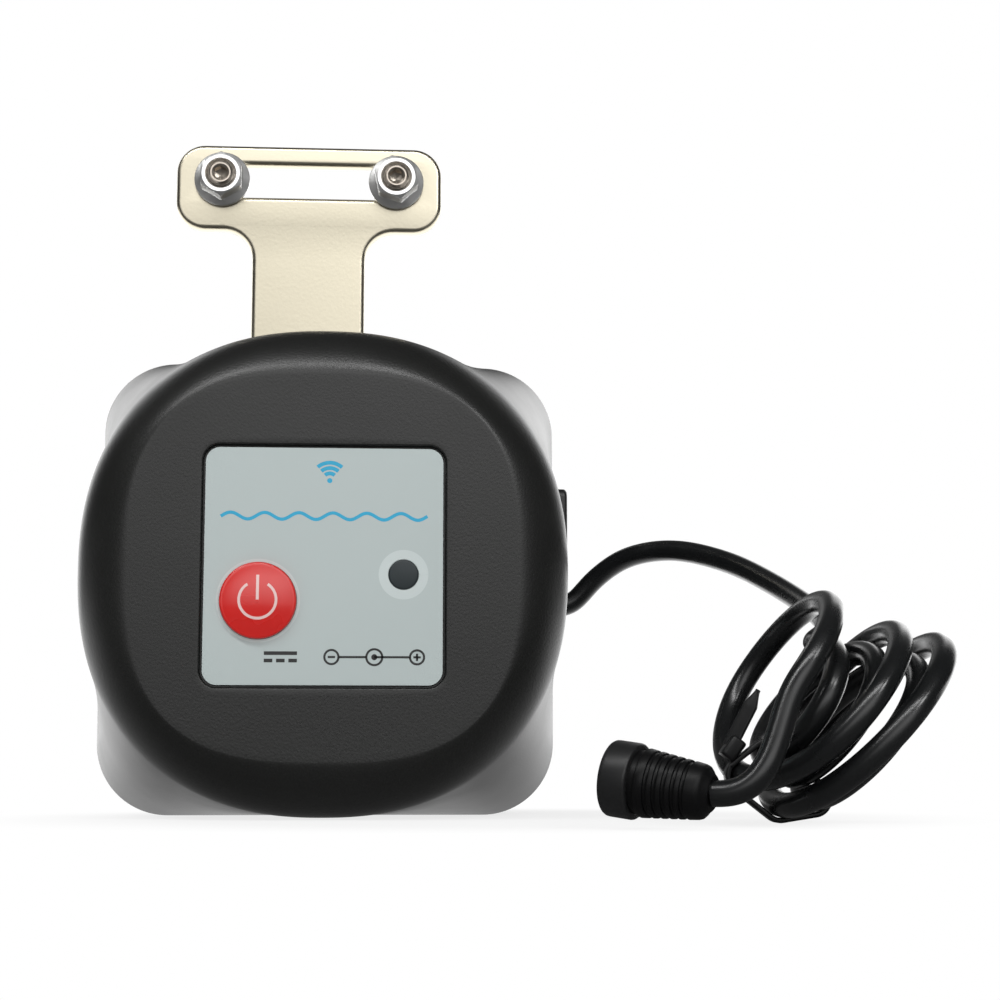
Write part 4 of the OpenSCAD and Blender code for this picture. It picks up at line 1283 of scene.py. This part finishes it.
@dataclass
class ClampStud:
    """Socket-ended stud with a rolled thread, its flange nut and its back nut."""

    side: Side
    body: Body
    turn: float  # of the socket and the flange nut, in degrees
    radius: float = 2.5
    pitch: float = 0.8
    thread: float = 0.42
    flank: Pair = (1.25, 0.12)  # steepness of the thread's sides, and its crest
    tip: float = 2.0
    front: float = 10.85
    length: float = 35.0
    step: float = 24.25
    runout: float = 0.3
    shank: float = 2.2
    chamfer: float = 0.6
    socket: float = 2.5
    socket_deep: float = 2.2
    socket_point: float = 0.5
    socket_mouth: Pair = (0.28, 1.72)  # depth and radius
    nut_af: float = 8.0
    nut_front: float = 5.0
    nut_rear: float = 4.0
    nut_corner: float = 1.135  # corners, as a share of half the width
    nut_cut: float = 0.25
    nut_slope: float = 1.75
    nut_play: float = 0.06
    nut_mouth: Pair = (0.6, 0.55)  # depth and width of the chamfer
    flange_at: tuple[float, ...] = (0.0, 0.25, 0.9, 1.75, 1.76)  # from the plate
    flange_r: tuple[float, ...] = (5.2, 5.5, 5.5, 4.1, 0.0)

    @property
    def name(self) -> str:
        """Side of the stud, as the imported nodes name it."""
        return self.side.name.lower()

    def hexagon(self, across: float, turn: float, angle: Array) -> Array:
        """Radius of a hexagon: half its width over the cosine of the angle from a flat's middle."""
        near = np.mod(angle - np.radians(turn), np.pi / 3) - np.pi / 6
        return across / 2 / np.cos(near)

    def lay(self, name: str, ys: Array, radii: Array, angle: Array) -> Piece:
        """Skins rings of changing radius round the stud's axis.

        Args:
            name: Name of the piece.
            ys: Depth of each ring.
            radii: Radius by ring and angle.
            angle: Angles in radians.

        Returns:
            The skinned piece.
        """
        x = SHAFT_X + self.side.value * STUD_REACH + radii * np.cos(angle)
        z = MID_Z + STUD_UP + radii * np.sin(angle)
        y = np.broadcast_to(ys[:, None], radii.shape)
        return skin(name, np.stack([x, y, z], -1), STUD_SHARP)

    def stud(self) -> Piece:
        """Helical ridge: the radius falls and rises once a pitch, shifted by the angle.

        Returns:
            The stud.
        """
        angle = even_angles(steps=96)
        one = np.ones_like(angle)
        ys = np.linspace(self.front, self.step, 240)
        turns = (ys[:, None] - self.front) / self.pitch - angle / (2 * np.pi)
        wave = np.abs(np.mod(turns, 1.0) - 0.5) * 2
        steep, crest = self.flank
        ridge = self.radius - self.thread * np.clip(steep * wave - crest, 0, 1)
        taper = np.minimum(self.tip + (ys - self.front), self.shank + np.maximum(self.step - ys, 0))
        hexagon = self.hexagon(self.socket, self.turn, angle)
        floor, end = self.front + self.socket_deep, self.front + self.length
        rim, mouth = self.socket_mouth
        inside = [floor + self.socket_point, floor, self.front + rim, self.front]
        tail = [self.step + self.runout, end - self.chamfer, end]
        radii = np.vstack([
            HUB * one, hexagon, hexagon, mouth * one, np.minimum(ridge, taper[:, None]),
            self.shank * one, self.shank * one, (self.shank - self.chamfer) * one,
        ])
        return self.lay(f"{self.name}_stud_rod", np.concatenate([inside, ys, tail]), radii, angle)

    def nut(self, name: str, start: float, end: float, flange: bool, turn: float) -> Piece:
        """Hexagon cut by a cone at its corners, or the flange's cone where that is larger.

        Args:
            name: Name of the piece.
            start: Front face.
            end: Back face.
            flange: True where the nut has a flange at its back.
            turn: Angle of a corner in degrees.

        Returns:
            The nut.
        """
        angle = even_angles(steps=240)
        one, half = np.ones_like(angle), self.nut_af / 2
        ys = np.linspace(start, end, 64)
        room = ys - start if flange else np.minimum(ys - start, end - ys)
        cone = half - self.nut_cut + room * self.nut_slope
        hexagon = np.minimum(self.hexagon(self.nut_af, turn, angle), half * self.nut_corner)
        sides = np.minimum(hexagon, cone[:, None])
        if flange:
            ring = np.interp(end - ys, self.flange_at, self.flange_r)
            sides = np.maximum(sides, ring[:, None])
        bore, (deep, wide) = self.radius + self.nut_play, self.nut_mouth
        depths = np.concatenate([[end, start + deep, start], ys, [end]])
        radii = np.vstack([bore * one, bore * one, (bore + wide) * one, sides, bore * one])
        return self.lay(name, depths, radii, angle)

    def build(self) -> list[Piece]:
        """Builds the stud and both nuts.

        Returns:
            The three pieces.
        """
        n, start, end = self.name, PLATE_FRONT - self.nut_front, PLATE_BACK + self.nut_rear
        flange = self.nut(f"{n}_nut_front", start, PLATE_FRONT, flange=True, turn=self.turn)
        rear = self.nut(f"{n}_nut_rear", PLATE_BACK, end, flange=False, turn=0.0)
        return [
            dress(self.stud(), STUD, self.body, "bright", f"{n}_stud"),
            dress(flange, BRIGHT, self.body, "bright", f"{n}_flange_nut"),
            dress(rear, BRIGHT, self.body, "bright", f"{n}_back_nut"),
        ]


# Cord


@dataclass(frozen=True)
class InlineSocket:
    """Socket on the cord's end: profiles give distance from the cord and radius."""

    at: Point = (54.9, -97.4, 5.1)
    turn: float = 149.0  # degrees, seen from above
    rise: float = 8.0  # degrees
    neck: Profile = (
        (0.0, HUB), (0.0, 2.4), (0.15, 2.6), (0.6, 3.0), (0.85, 3.4), (1.15, 3.72), (1.6, 3.88),
    )
    grip_start: Pair = (1.6, 3.9)  # distance and radius
    grip_slope: float = 8.6  # distance in which the radius grows by 1
    grooves: int = 5
    groove_first: float = 3.0
    groove_step: float = 1.3
    groove: Profile = (  # distance from its start, and depth
        (-0.12, 0.0), (0.0, 0.07), (0.08, 0.3), (0.2, 0.35), (0.45, 0.33), (0.55, 0.26),
        (0.62, 0.0),
    )
    groove_end: float = 0.74
    nose: Profile = (
        (9.9, 4.87), (10.1, 4.82), (10.2, 4.7), (10.3, 4.5), (15.4, 4.5), (15.4, 2.8), (6.0, 2.8),
        (6.0, HUB),
    )
    collar: Profile = (
        (11.2, 4.52), (11.2, 5.1), (11.26, 5.24), (11.4, 5.35), (11.6, 5.4), (14.6, 5.4),
        (15.0, 5.36), (15.25, 5.22), (15.37, 5.05), (15.4, 4.85), (15.4, 4.52), (11.2, 4.52),
    )
    pin: Profile = (
        (4.4, HUB), (4.4, 1.0), (13.7, 1.0), (14.05, 0.9), (14.28, 0.72), (14.4, 0.5), (14.4, HUB),
    )

    @property
    def axis(self) -> Array:
        """Direction of the socket, from the cord to its mouth."""
        a, b = math.radians(self.turn), math.radians(self.rise)
        return np.array([math.cos(a) * math.cos(b), math.sin(a) * math.cos(b), math.sin(b)])

    def grip_radius(self, along: float) -> float:
        """Radius of the grip, which widens evenly towards the mouth."""
        start, radius = self.grip_start
        return radius + (along - start) / self.grip_slope

    def grip(self) -> Profile:
        """Profile of the body: the neck, the grip with its grooves, the nose and the plug's bore.

        Returns:
            Distance and radius of each ring.
        """
        line = list(self.neck)
        for k in range(self.grooves):
            a = self.groove_first + self.groove_step * k
            line += [(a + way, self.grip_radius(a) - deep) for way, deep in self.groove]
            line.append((a + self.groove_end, self.grip_radius(a + self.groove_end)))
        return line + list(self.nose)

    def build(self) -> list[Piece]:
        """Turned body with a neck, a ribbed grip and the plug's bore, a collar and a centre pin.

        Returns:
            The body, the collar and the pin.
        """
        grip = turned("socket_grip", self.grip(), self.at, self.axis)
        mouth = turned("socket_mouth", self.collar, self.at, self.axis)
        pin = turned("socket_pin", self.pin, self.at, self.axis, steps=64)
        return [
            dress(grip, JACK, Body.HOUSING, "jack", "jack_body"),
            dress(mouth, COLLAR, Body.HOUSING, "collar", "jack_collar"),
            dress(pin, BRASS, Body.HOUSING, "brass", "jack_contacts"),
        ]


@dataclass(frozen=True)
class CordTie:
    """Flat strap round the hank, with a ratchet head and a free end."""

    strap: Triple = (2.4, 0.8, 0.25)  # width, thickness and corner
    strap_gap: float = 2.3  # from the middle of a strand
    strands: int = 5
    head: Triple = (2.4, 3.4, 0.6)  # width, depth and corner
    head_edge: float = 0.5
    head_ends: Pair = (0.5, 3.9)  # foot and top
    head_left: float = 3.6  # from the strand furthest to the left
    end: Triple = (2.3, 0.75, 0.25)  # width, thickness and corner
    end_at: Pair = (4.1, 2.2)  # to the left, as the head, and up
    end_lean: float = 10.0  # degrees
    end_twist: Pair = (0.6, 0.8)  # direction of its width: ahead and sideways
    end_long: float = 9.4
    end_taper: Triple = (9.8, 3.0, 0.25)  # where it would end, its length, and its least share

    def build(self, at: Point, side: Array, strands: Array) -> Piece:
        """Strap along the line drawn tight round the strands, a rounded head and a tapered end.

        Args:
            at: Middle of the hank's foot.
            side: Direction in which the strands lie side by side.
            strands: Middles of the strands that the tie holds.

        Returns:
            The tie.
        """
        up, ahead = np.array([-side[2], 0.0, side[0]]), np.array(AHEAD)
        flat = np.stack([(strands - at) @ side, (strands - at) @ up], -1)
        left = flat[:, 0].min()
        rounds = flat[:, None] + circle(self.strap_gap, steps=64)
        loop = outer_line(rounds.reshape(-1, 2), steps=160)
        loop = np.vstack([loop, loop[:2]])
        path = at + loop[:, :1] * side + loop[:, 1:] * up
        strap = swept("strap", path, rounded_outline(*self.strap, steps=4), ahead)
        less, rise = quarter(self.head_edge, steps=5)
        low, high = self.head_ends
        wide, deep, corner = self.head
        ups = np.concatenate([low + rise, high - rise[::-1]])
        rings = []
        for b, g in zip(ups, np.concatenate([less, less[::-1]])):
            line = rounded_outline(wide - g, deep - g, corner, steps=6)
            right = left - self.head_left + line[:, :1]
            rings.append(at + right * side + b * up + line[:, 1:] * ahead)
        head = skin("head", np.array(rings))
        lean = math.radians(self.end_lean)
        along = -math.sin(lean) * side + math.cos(lean) * up
        first = at + (left - self.end_at[0]) * side + self.end_at[1] * up
        twist = self.end_twist[0] * ahead + self.end_twist[1] * np.cross(along, ahead)
        steps = np.linspace(0, self.end_long, 30)
        reach, slope, least = self.end_taper
        size = np.stack([np.clip((reach - steps) / slope, least, 1), np.ones_like(steps)], -1)
        tail = first + steps[:, None] * along
        end = swept("free_end", tail, rounded_outline(*self.end, steps=4), twist, size)
        return dress(joined("cord_tie", strap, head, end), NYLON, Body.HOUSING, "tie", "cable_tie")


@dataclass
class SupplyCord:
    """Tied hank of two-core lead with an inline socket.

    Lean, tilt and slope are degrees, and fan is degrees for each turn of the hank. Swap, apart_from
    and apart_over are counted in turns.
    """

    diameter: float = 3.68
    turns: float = 5.25
    pitch: float = 4.4
    grow: float = 1.4
    lean: float = 55.5
    fan: float = 3.2
    tilt: float = 7.0
    apart: float = 4.8
    apart_from: float = 4.25
    apart_over: float = 0.5
    long: float = 9.2
    deep: float = 13.0
    swap: float = 0.25
    slope: float = 38.0
    at: Point = (61.74, -79.55, 8.0)
    straight: Triple = (39.3, 41.1, 43.4)  # first points, level with the gland
    lead: tuple[Point, ...] = (
        (45.3, -12.6, 38.8), (47.0, -13.0, 41.0), (49.0, -13.7, 43.0), (52.6, -16.0, 45.6),
        (56.5, -19.0, 46.8), (61.2, -23.0, 46.9), (65.8, -28.0, 45.6), (70.6, -36.0, 42.8),
        (74.6, -46.0, 38.8), (77.2, -55.0, 35.2), (78.6, -64.0, 31.8), (77.8, -71.0, 29.4),
    )
    run_in: Triple = (3.7, 1.85, 0.0)  # distances before the hank
    tail_pull: Pair = (6.0, 10.0)  # lengths of the tail's handles
    step: float = 0.6
    passes: int = 16
    socket: InlineSocket = InlineSocket()
    tie: CordTie = CordTie()

    @property
    def side(self) -> Array:
        """Direction in which the turns of the hank stand side by side."""
        slope = math.radians(self.slope)
        return np.array([math.cos(slope), 0.0, -math.sin(slope)])

    def hank(self, tau: Array) -> Array:
        """Loops that lean and grow layer by layer, there and back across the hank.

        Args:
            tau: Turns from the start of the hank.

        Returns:
            One point for each turn value.
        """
        half, swap = self.turns / 2, self.swap
        x = tau - half
        s = half - np.where(np.abs(x) < swap, x**2 / (2 * swap) + swap / 2, np.abs(x))
        delta = self.pitch * eased((x + swap) / (2 * swap))
        long, a = self.long + self.grow * s, np.radians(self.lean - self.fan * s)
        out = np.stack([np.cos(a), 0 * a, np.sin(a)], -1)
        tilt = math.radians(self.tilt)
        near = math.cos(tilt) * np.array(AHEAD) + math.sin(tilt) * self.side
        away = self.apart * eased((tau - self.apart_from) / self.apart_over)
        turn = 2 * np.pi * tau
        return (
            self.at + (self.pitch * s - away)[:, None] * self.side
            + (long + self.pitch + (long + delta) * np.cos(turn))[:, None] * out
            + ((self.deep + delta) * np.sin(turn))[:, None] * near
        )

    def path(self) -> Array:
        """The whole line: from the grommet over to the hank, round it, and on to the socket.

        Returns:
            Points in millimetres.
        """
        coil = self.hank(np.linspace(0, self.turns, 800))
        start, end = coil[0], coil[-1]
        inn, out = unit(coil[1] - start), unit(end - coil[-2])
        lead = np.vstack([
            [(x, *GLAND_AT) for x in self.straight], self.lead,
            [start - d * inn for d in self.run_in],
        ])
        mouth, (first, last) = np.array(self.socket.at), self.tail_pull
        knots = end, end + first * out, mouth - last * self.socket.axis, mouth
        tail = cubic(np.linspace(0, 1, 60)[:, None], knots)
        line = np.vstack([smooth_line(lead, steps=12)[:-1], coil[:-1], tail])
        return relaxed(line, self.step, self.passes)

    def build(self) -> list[Piece]:
        """One unbroken tube along the whole path, with the socket and the tie on it.

        Returns:
            The cord and the pieces on it.
        """
        path = self.path()
        cord = tube("supply_cord", path, self.diameter / 2, steps=40)
        dress(cord, JACKET, Body.HOUSING, "cord", "cord_lead", "cord_coil", "cord_tail")
        held = self.hank(np.arange(self.tie.strands) + 0.5)
        extras = self.socket.build() + [self.tie.build(self.at, self.side, held)]
        return [cord] + extras


# Stage


@dataclass(frozen=True)
class Lamp:
    """Soft lamp: place in millimetres, width and height in metres, power in watts."""

    name: str
    at: Point
    size: Pair
    power: float


@dataclass
class Studio:
    """White studio: floor, soft lamps, a plain white surround and the camera of the photograph.

    The floor's shading is in metres. The surround's ends are parts of a direction of length 1.
    """

    eye: Point = (7.24, -366.55, 9.0)
    yaw: float = 3.88
    pitch: float = 7.72
    focal: float = 70.38
    sensor: float = 36.0
    nearest: float = 0.01
    floor_half: float = 9000.0
    shadow_at: Point = (0.026, -0.027, 0.0)
    shadow_size: Triple = (1.55, 1.4, 1.0)  # factors
    shadow_ends: Pair = (0.03, 0.06)
    shadow_levels: Pair = (0.78, 1.0)
    glare_ends: Pair = (-0.05, 0.04)
    glare: Pair = (0.1, 2.0)
    rim_ends: Pair = (0.12, 0.4)
    rim_levels: Pair = (0.12, 1.0)
    back_ends: Pair = (0.55, 0.8)
    back_levels: Pair = (0.05, 2.9)
    front_ends: Pair = (-0.72, -0.92)
    height_ends: Pair = (-0.1, 0.45)
    height_levels: Pair = (0.52, 2.25)
    aim: Point = (0.0, 0.0, 60.0)
    lamps: tuple[Lamp, ...] = (
        Lamp("fill", (300.0, -560.0, 120.0), (0.5, 0.5), 0.1),
        Lamp("spark", (260.0, -420.0, 330.0), (0.1, 0.1), 0.45),
        Lamp("overhead", (-150.0, -400.0, 580.0), (0.75, 0.07), 2.5),
    )

    def floor(self) -> None:
        """A wide pale floor that takes the object's shadow and fades to white far from it.

        Glossy rays see a dark floor in front of the object and a bright one behind it.
        """
        far = self.floor_half
        corners = np.array([(-far, -far, 0.0), (far, -far, 0.0), (far, far, 0.0), (-far, far, 0.0)])
        ground = put("floor", corners, [[0, 1, 2, 3]])
        mat = FLOOR.material()
        tree, nodes, link = mat.node_tree, mat.node_tree.nodes, mat.node_tree.links.new
        place, split = nodes.new("ShaderNodeTexCoord"), nodes.new("ShaderNodeSeparateXYZ")
        near, away = nodes.new("ShaderNodeMapping"), nodes.new("ShaderNodeVectorMath")
        near.vector_type, away.operation = "TEXTURE", "LENGTH"
        near.inputs["Location"].default_value = self.shadow_at
        near.inputs["Scale"].default_value = self.shadow_size
        link(place.outputs["Object"], near.inputs[0])
        link(near.outputs[0], away.inputs[0])
        link(place.outputs["Object"], split.inputs[0])
        fade = ramp(tree, away.outputs["Value"], self.shadow_ends, self.shadow_levels)
        reach = ramp(tree, split.outputs["Y"], self.glare_ends, self.glare)
        white, glare = (nodes.new("ShaderNodeEmission") for _ in range(2))
        link(reach, glare.inputs["Strength"])
        path = nodes.new("ShaderNodeLightPath")
        seen = maths(tree, Maths.MULTIPLY, path.outputs["Is Camera Ray"], fade)
        plain = blended(tree, seen, nodes["Principled BSDF"].outputs[0], white.outputs[0])
        shown = blended(tree, path.outputs["Is Glossy Ray"], plain, glare.outputs[0])
        link(shown, nodes["Material Output"].inputs["Surface"])
        ground.data.materials.append(mat)

    def light(self) -> None:
        """Soft lamps, each with a width and a height, aimed at the middle of the object."""
        for lamp in self.lamps:
            data = bpy.data.lights.new(lamp.name, "AREA")
            data.shape, data.energy = "RECTANGLE", lamp.power
            data.size, data.size_y = lamp.size
            holder = linked(lamp.name, data)
            holder.location = Vector(lamp.at) * MM
            way = Vector(self.aim) - Vector(lamp.at)
            holder.rotation_euler = way.to_track_quat("-Z", "Y").to_euler()

    def world(self) -> None:
        """White for the camera; other rays see a bright back, a graded front and dark sides."""
        world = bpy.data.worlds.new("surround")
        bpy.context.scene.world = world
        world.use_nodes = True
        tree, nodes, link = world.node_tree, world.node_tree.nodes, world.node_tree.links.new
        back = nodes["Background"]
        back.inputs["Color"].default_value = (1, 1, 1, 1)
        place, split = nodes.new("ShaderNodeTexCoord"), nodes.new("ShaderNodeSeparateXYZ")
        link(place.outputs["Generated"], split.inputs[0])
        x, y, z = (split.outputs[axis] for axis in "XYZ")
        wide = ramp(tree, maths(tree, Maths.ABSOLUTE, x), self.rim_ends, self.rim_levels)
        rims = maths(tree, Maths.MULTIPLY, wide, ramp(tree, y, self.back_ends, (0.0, 1.0)))
        behind = ramp(tree, rims, (0.0, 1.0), self.back_levels)
        ahead = ramp(tree, y, self.front_ends, (0.0, 1.0))
        height = ramp(tree, z, self.height_ends, self.height_levels)
        level = maths(tree, Maths.ADD, behind, maths(tree, Maths.MULTIPLY, ahead, height))
        path, mix = nodes.new("ShaderNodeLightPath"), nodes.new("ShaderNodeMix")
        link(path.outputs["Is Camera Ray"], by_id(mix.inputs, "Factor_Float"))
        link(level, by_id(mix.inputs, "A_Float"))
        by_id(mix.inputs, "B_Float").default_value = 1.0
        link(by_id(mix.outputs, "Result_Float"), back.inputs["Strength"])

    def camera(self) -> None:
        """Camera at the place and turn fitted to the photograph."""
        data = bpy.data.cameras.new("camera")
        data.lens, data.sensor_width, data.clip_start = self.focal, self.sensor, self.nearest
        camera = linked("camera", data)
        camera.location = Vector(self.eye) * MM
        camera.rotation_euler = (math.radians(90 + self.pitch), 0, math.radians(-self.yaw))
        bpy.context.scene.camera = camera

    def build(self) -> None:
        """Sets up the whole stage."""
        bpy.context.scene.view_settings.view_transform = "Standard"
        self.floor()
        self.light()
        self.world()
        self.camera()


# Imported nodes


NODE_FINISH = {
    FILM: ["label_panel"],
    LAMP: ["led_lamp"],
    BOARD: ["circuit_board"],
    MODULE: ["wireless_module"],
    SWITCH: ["tact_switch", "limit_switches"],
    CAP: ["motor_end_cap", "limit_cam"],
    RUBBER: ["shell_gasket", "shaft_seal", "fork_sleeves"],
    BRASS: ["motor_pinion", "shaft_bush"],
    GEAR: ["first_gear", "second_gear", "output_gear", "gear_plate"],
    STEEL: [
        "output_shaft", "gear_spindles", "drive_arm", "fork_posts", "arm_screw", "release_spring",
    ],
    SCREW: ["cover_screws", "board_screws", "plate_screws", "bracket_screws", "motor_can"],
}
EASED_NODES = [
    "drive_arm", "arm_screw", "fork_posts", "fork_sleeves", "cover_screws", "bracket_screws",
    "output_shaft",
]
EASED_WELD, EASED_WIDTH, EASED_ANGLE = 1e-6, 0.00018, 50.0  # metres, metres and degrees


def paint_nodes() -> None:
    """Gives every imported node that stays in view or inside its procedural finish."""
    for finish, names in NODE_FINISH.items():
        for name in names:
            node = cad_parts[name]
            if node.material_slots:
                for place in node.material_slots:
                    place.material = finish.material()
            else:
                node.data.materials.append(finish.material())
            LOG.info("packed node %s: %s", name, finish.name)


def ease_edges() -> None:
    """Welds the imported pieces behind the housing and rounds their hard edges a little."""
    for name in EASED_NODES:
        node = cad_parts[name]
        weld = node.modifiers.new("weld", "WELD")
        weld.merge_threshold = EASED_WELD
        edge = node.modifiers.new("edge", "BEVEL")
        edge.width, edge.segments = EASED_WIDTH, 2
        edge.limit_method, edge.angle_limit = "ANGLE", math.radians(EASED_ANGLE)
        edge.harden_normals = True


def main() -> None:
    """Builds the object and the stage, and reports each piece."""
    logging.basicConfig(level=logging.INFO)
    paint_nodes()
    ease_edges()
    parts = [
        HousingShell(), RearCover(), LabelPrint(), PowerButton(), SmallFittings(), Bracket(),
        ClampStud(Side.LEFT, Body.LEFT, turn=30.0), ClampStud(Side.RIGHT, Body.RIGHT, turn=42.0),
        SupplyCord(),
    ]
    for part in parts:
        for piece in part.build():
            LOG.info("%s: %s", type(part).__name__, piece.name)
    Studio().build()


if __name__ == "__main__":
    main()
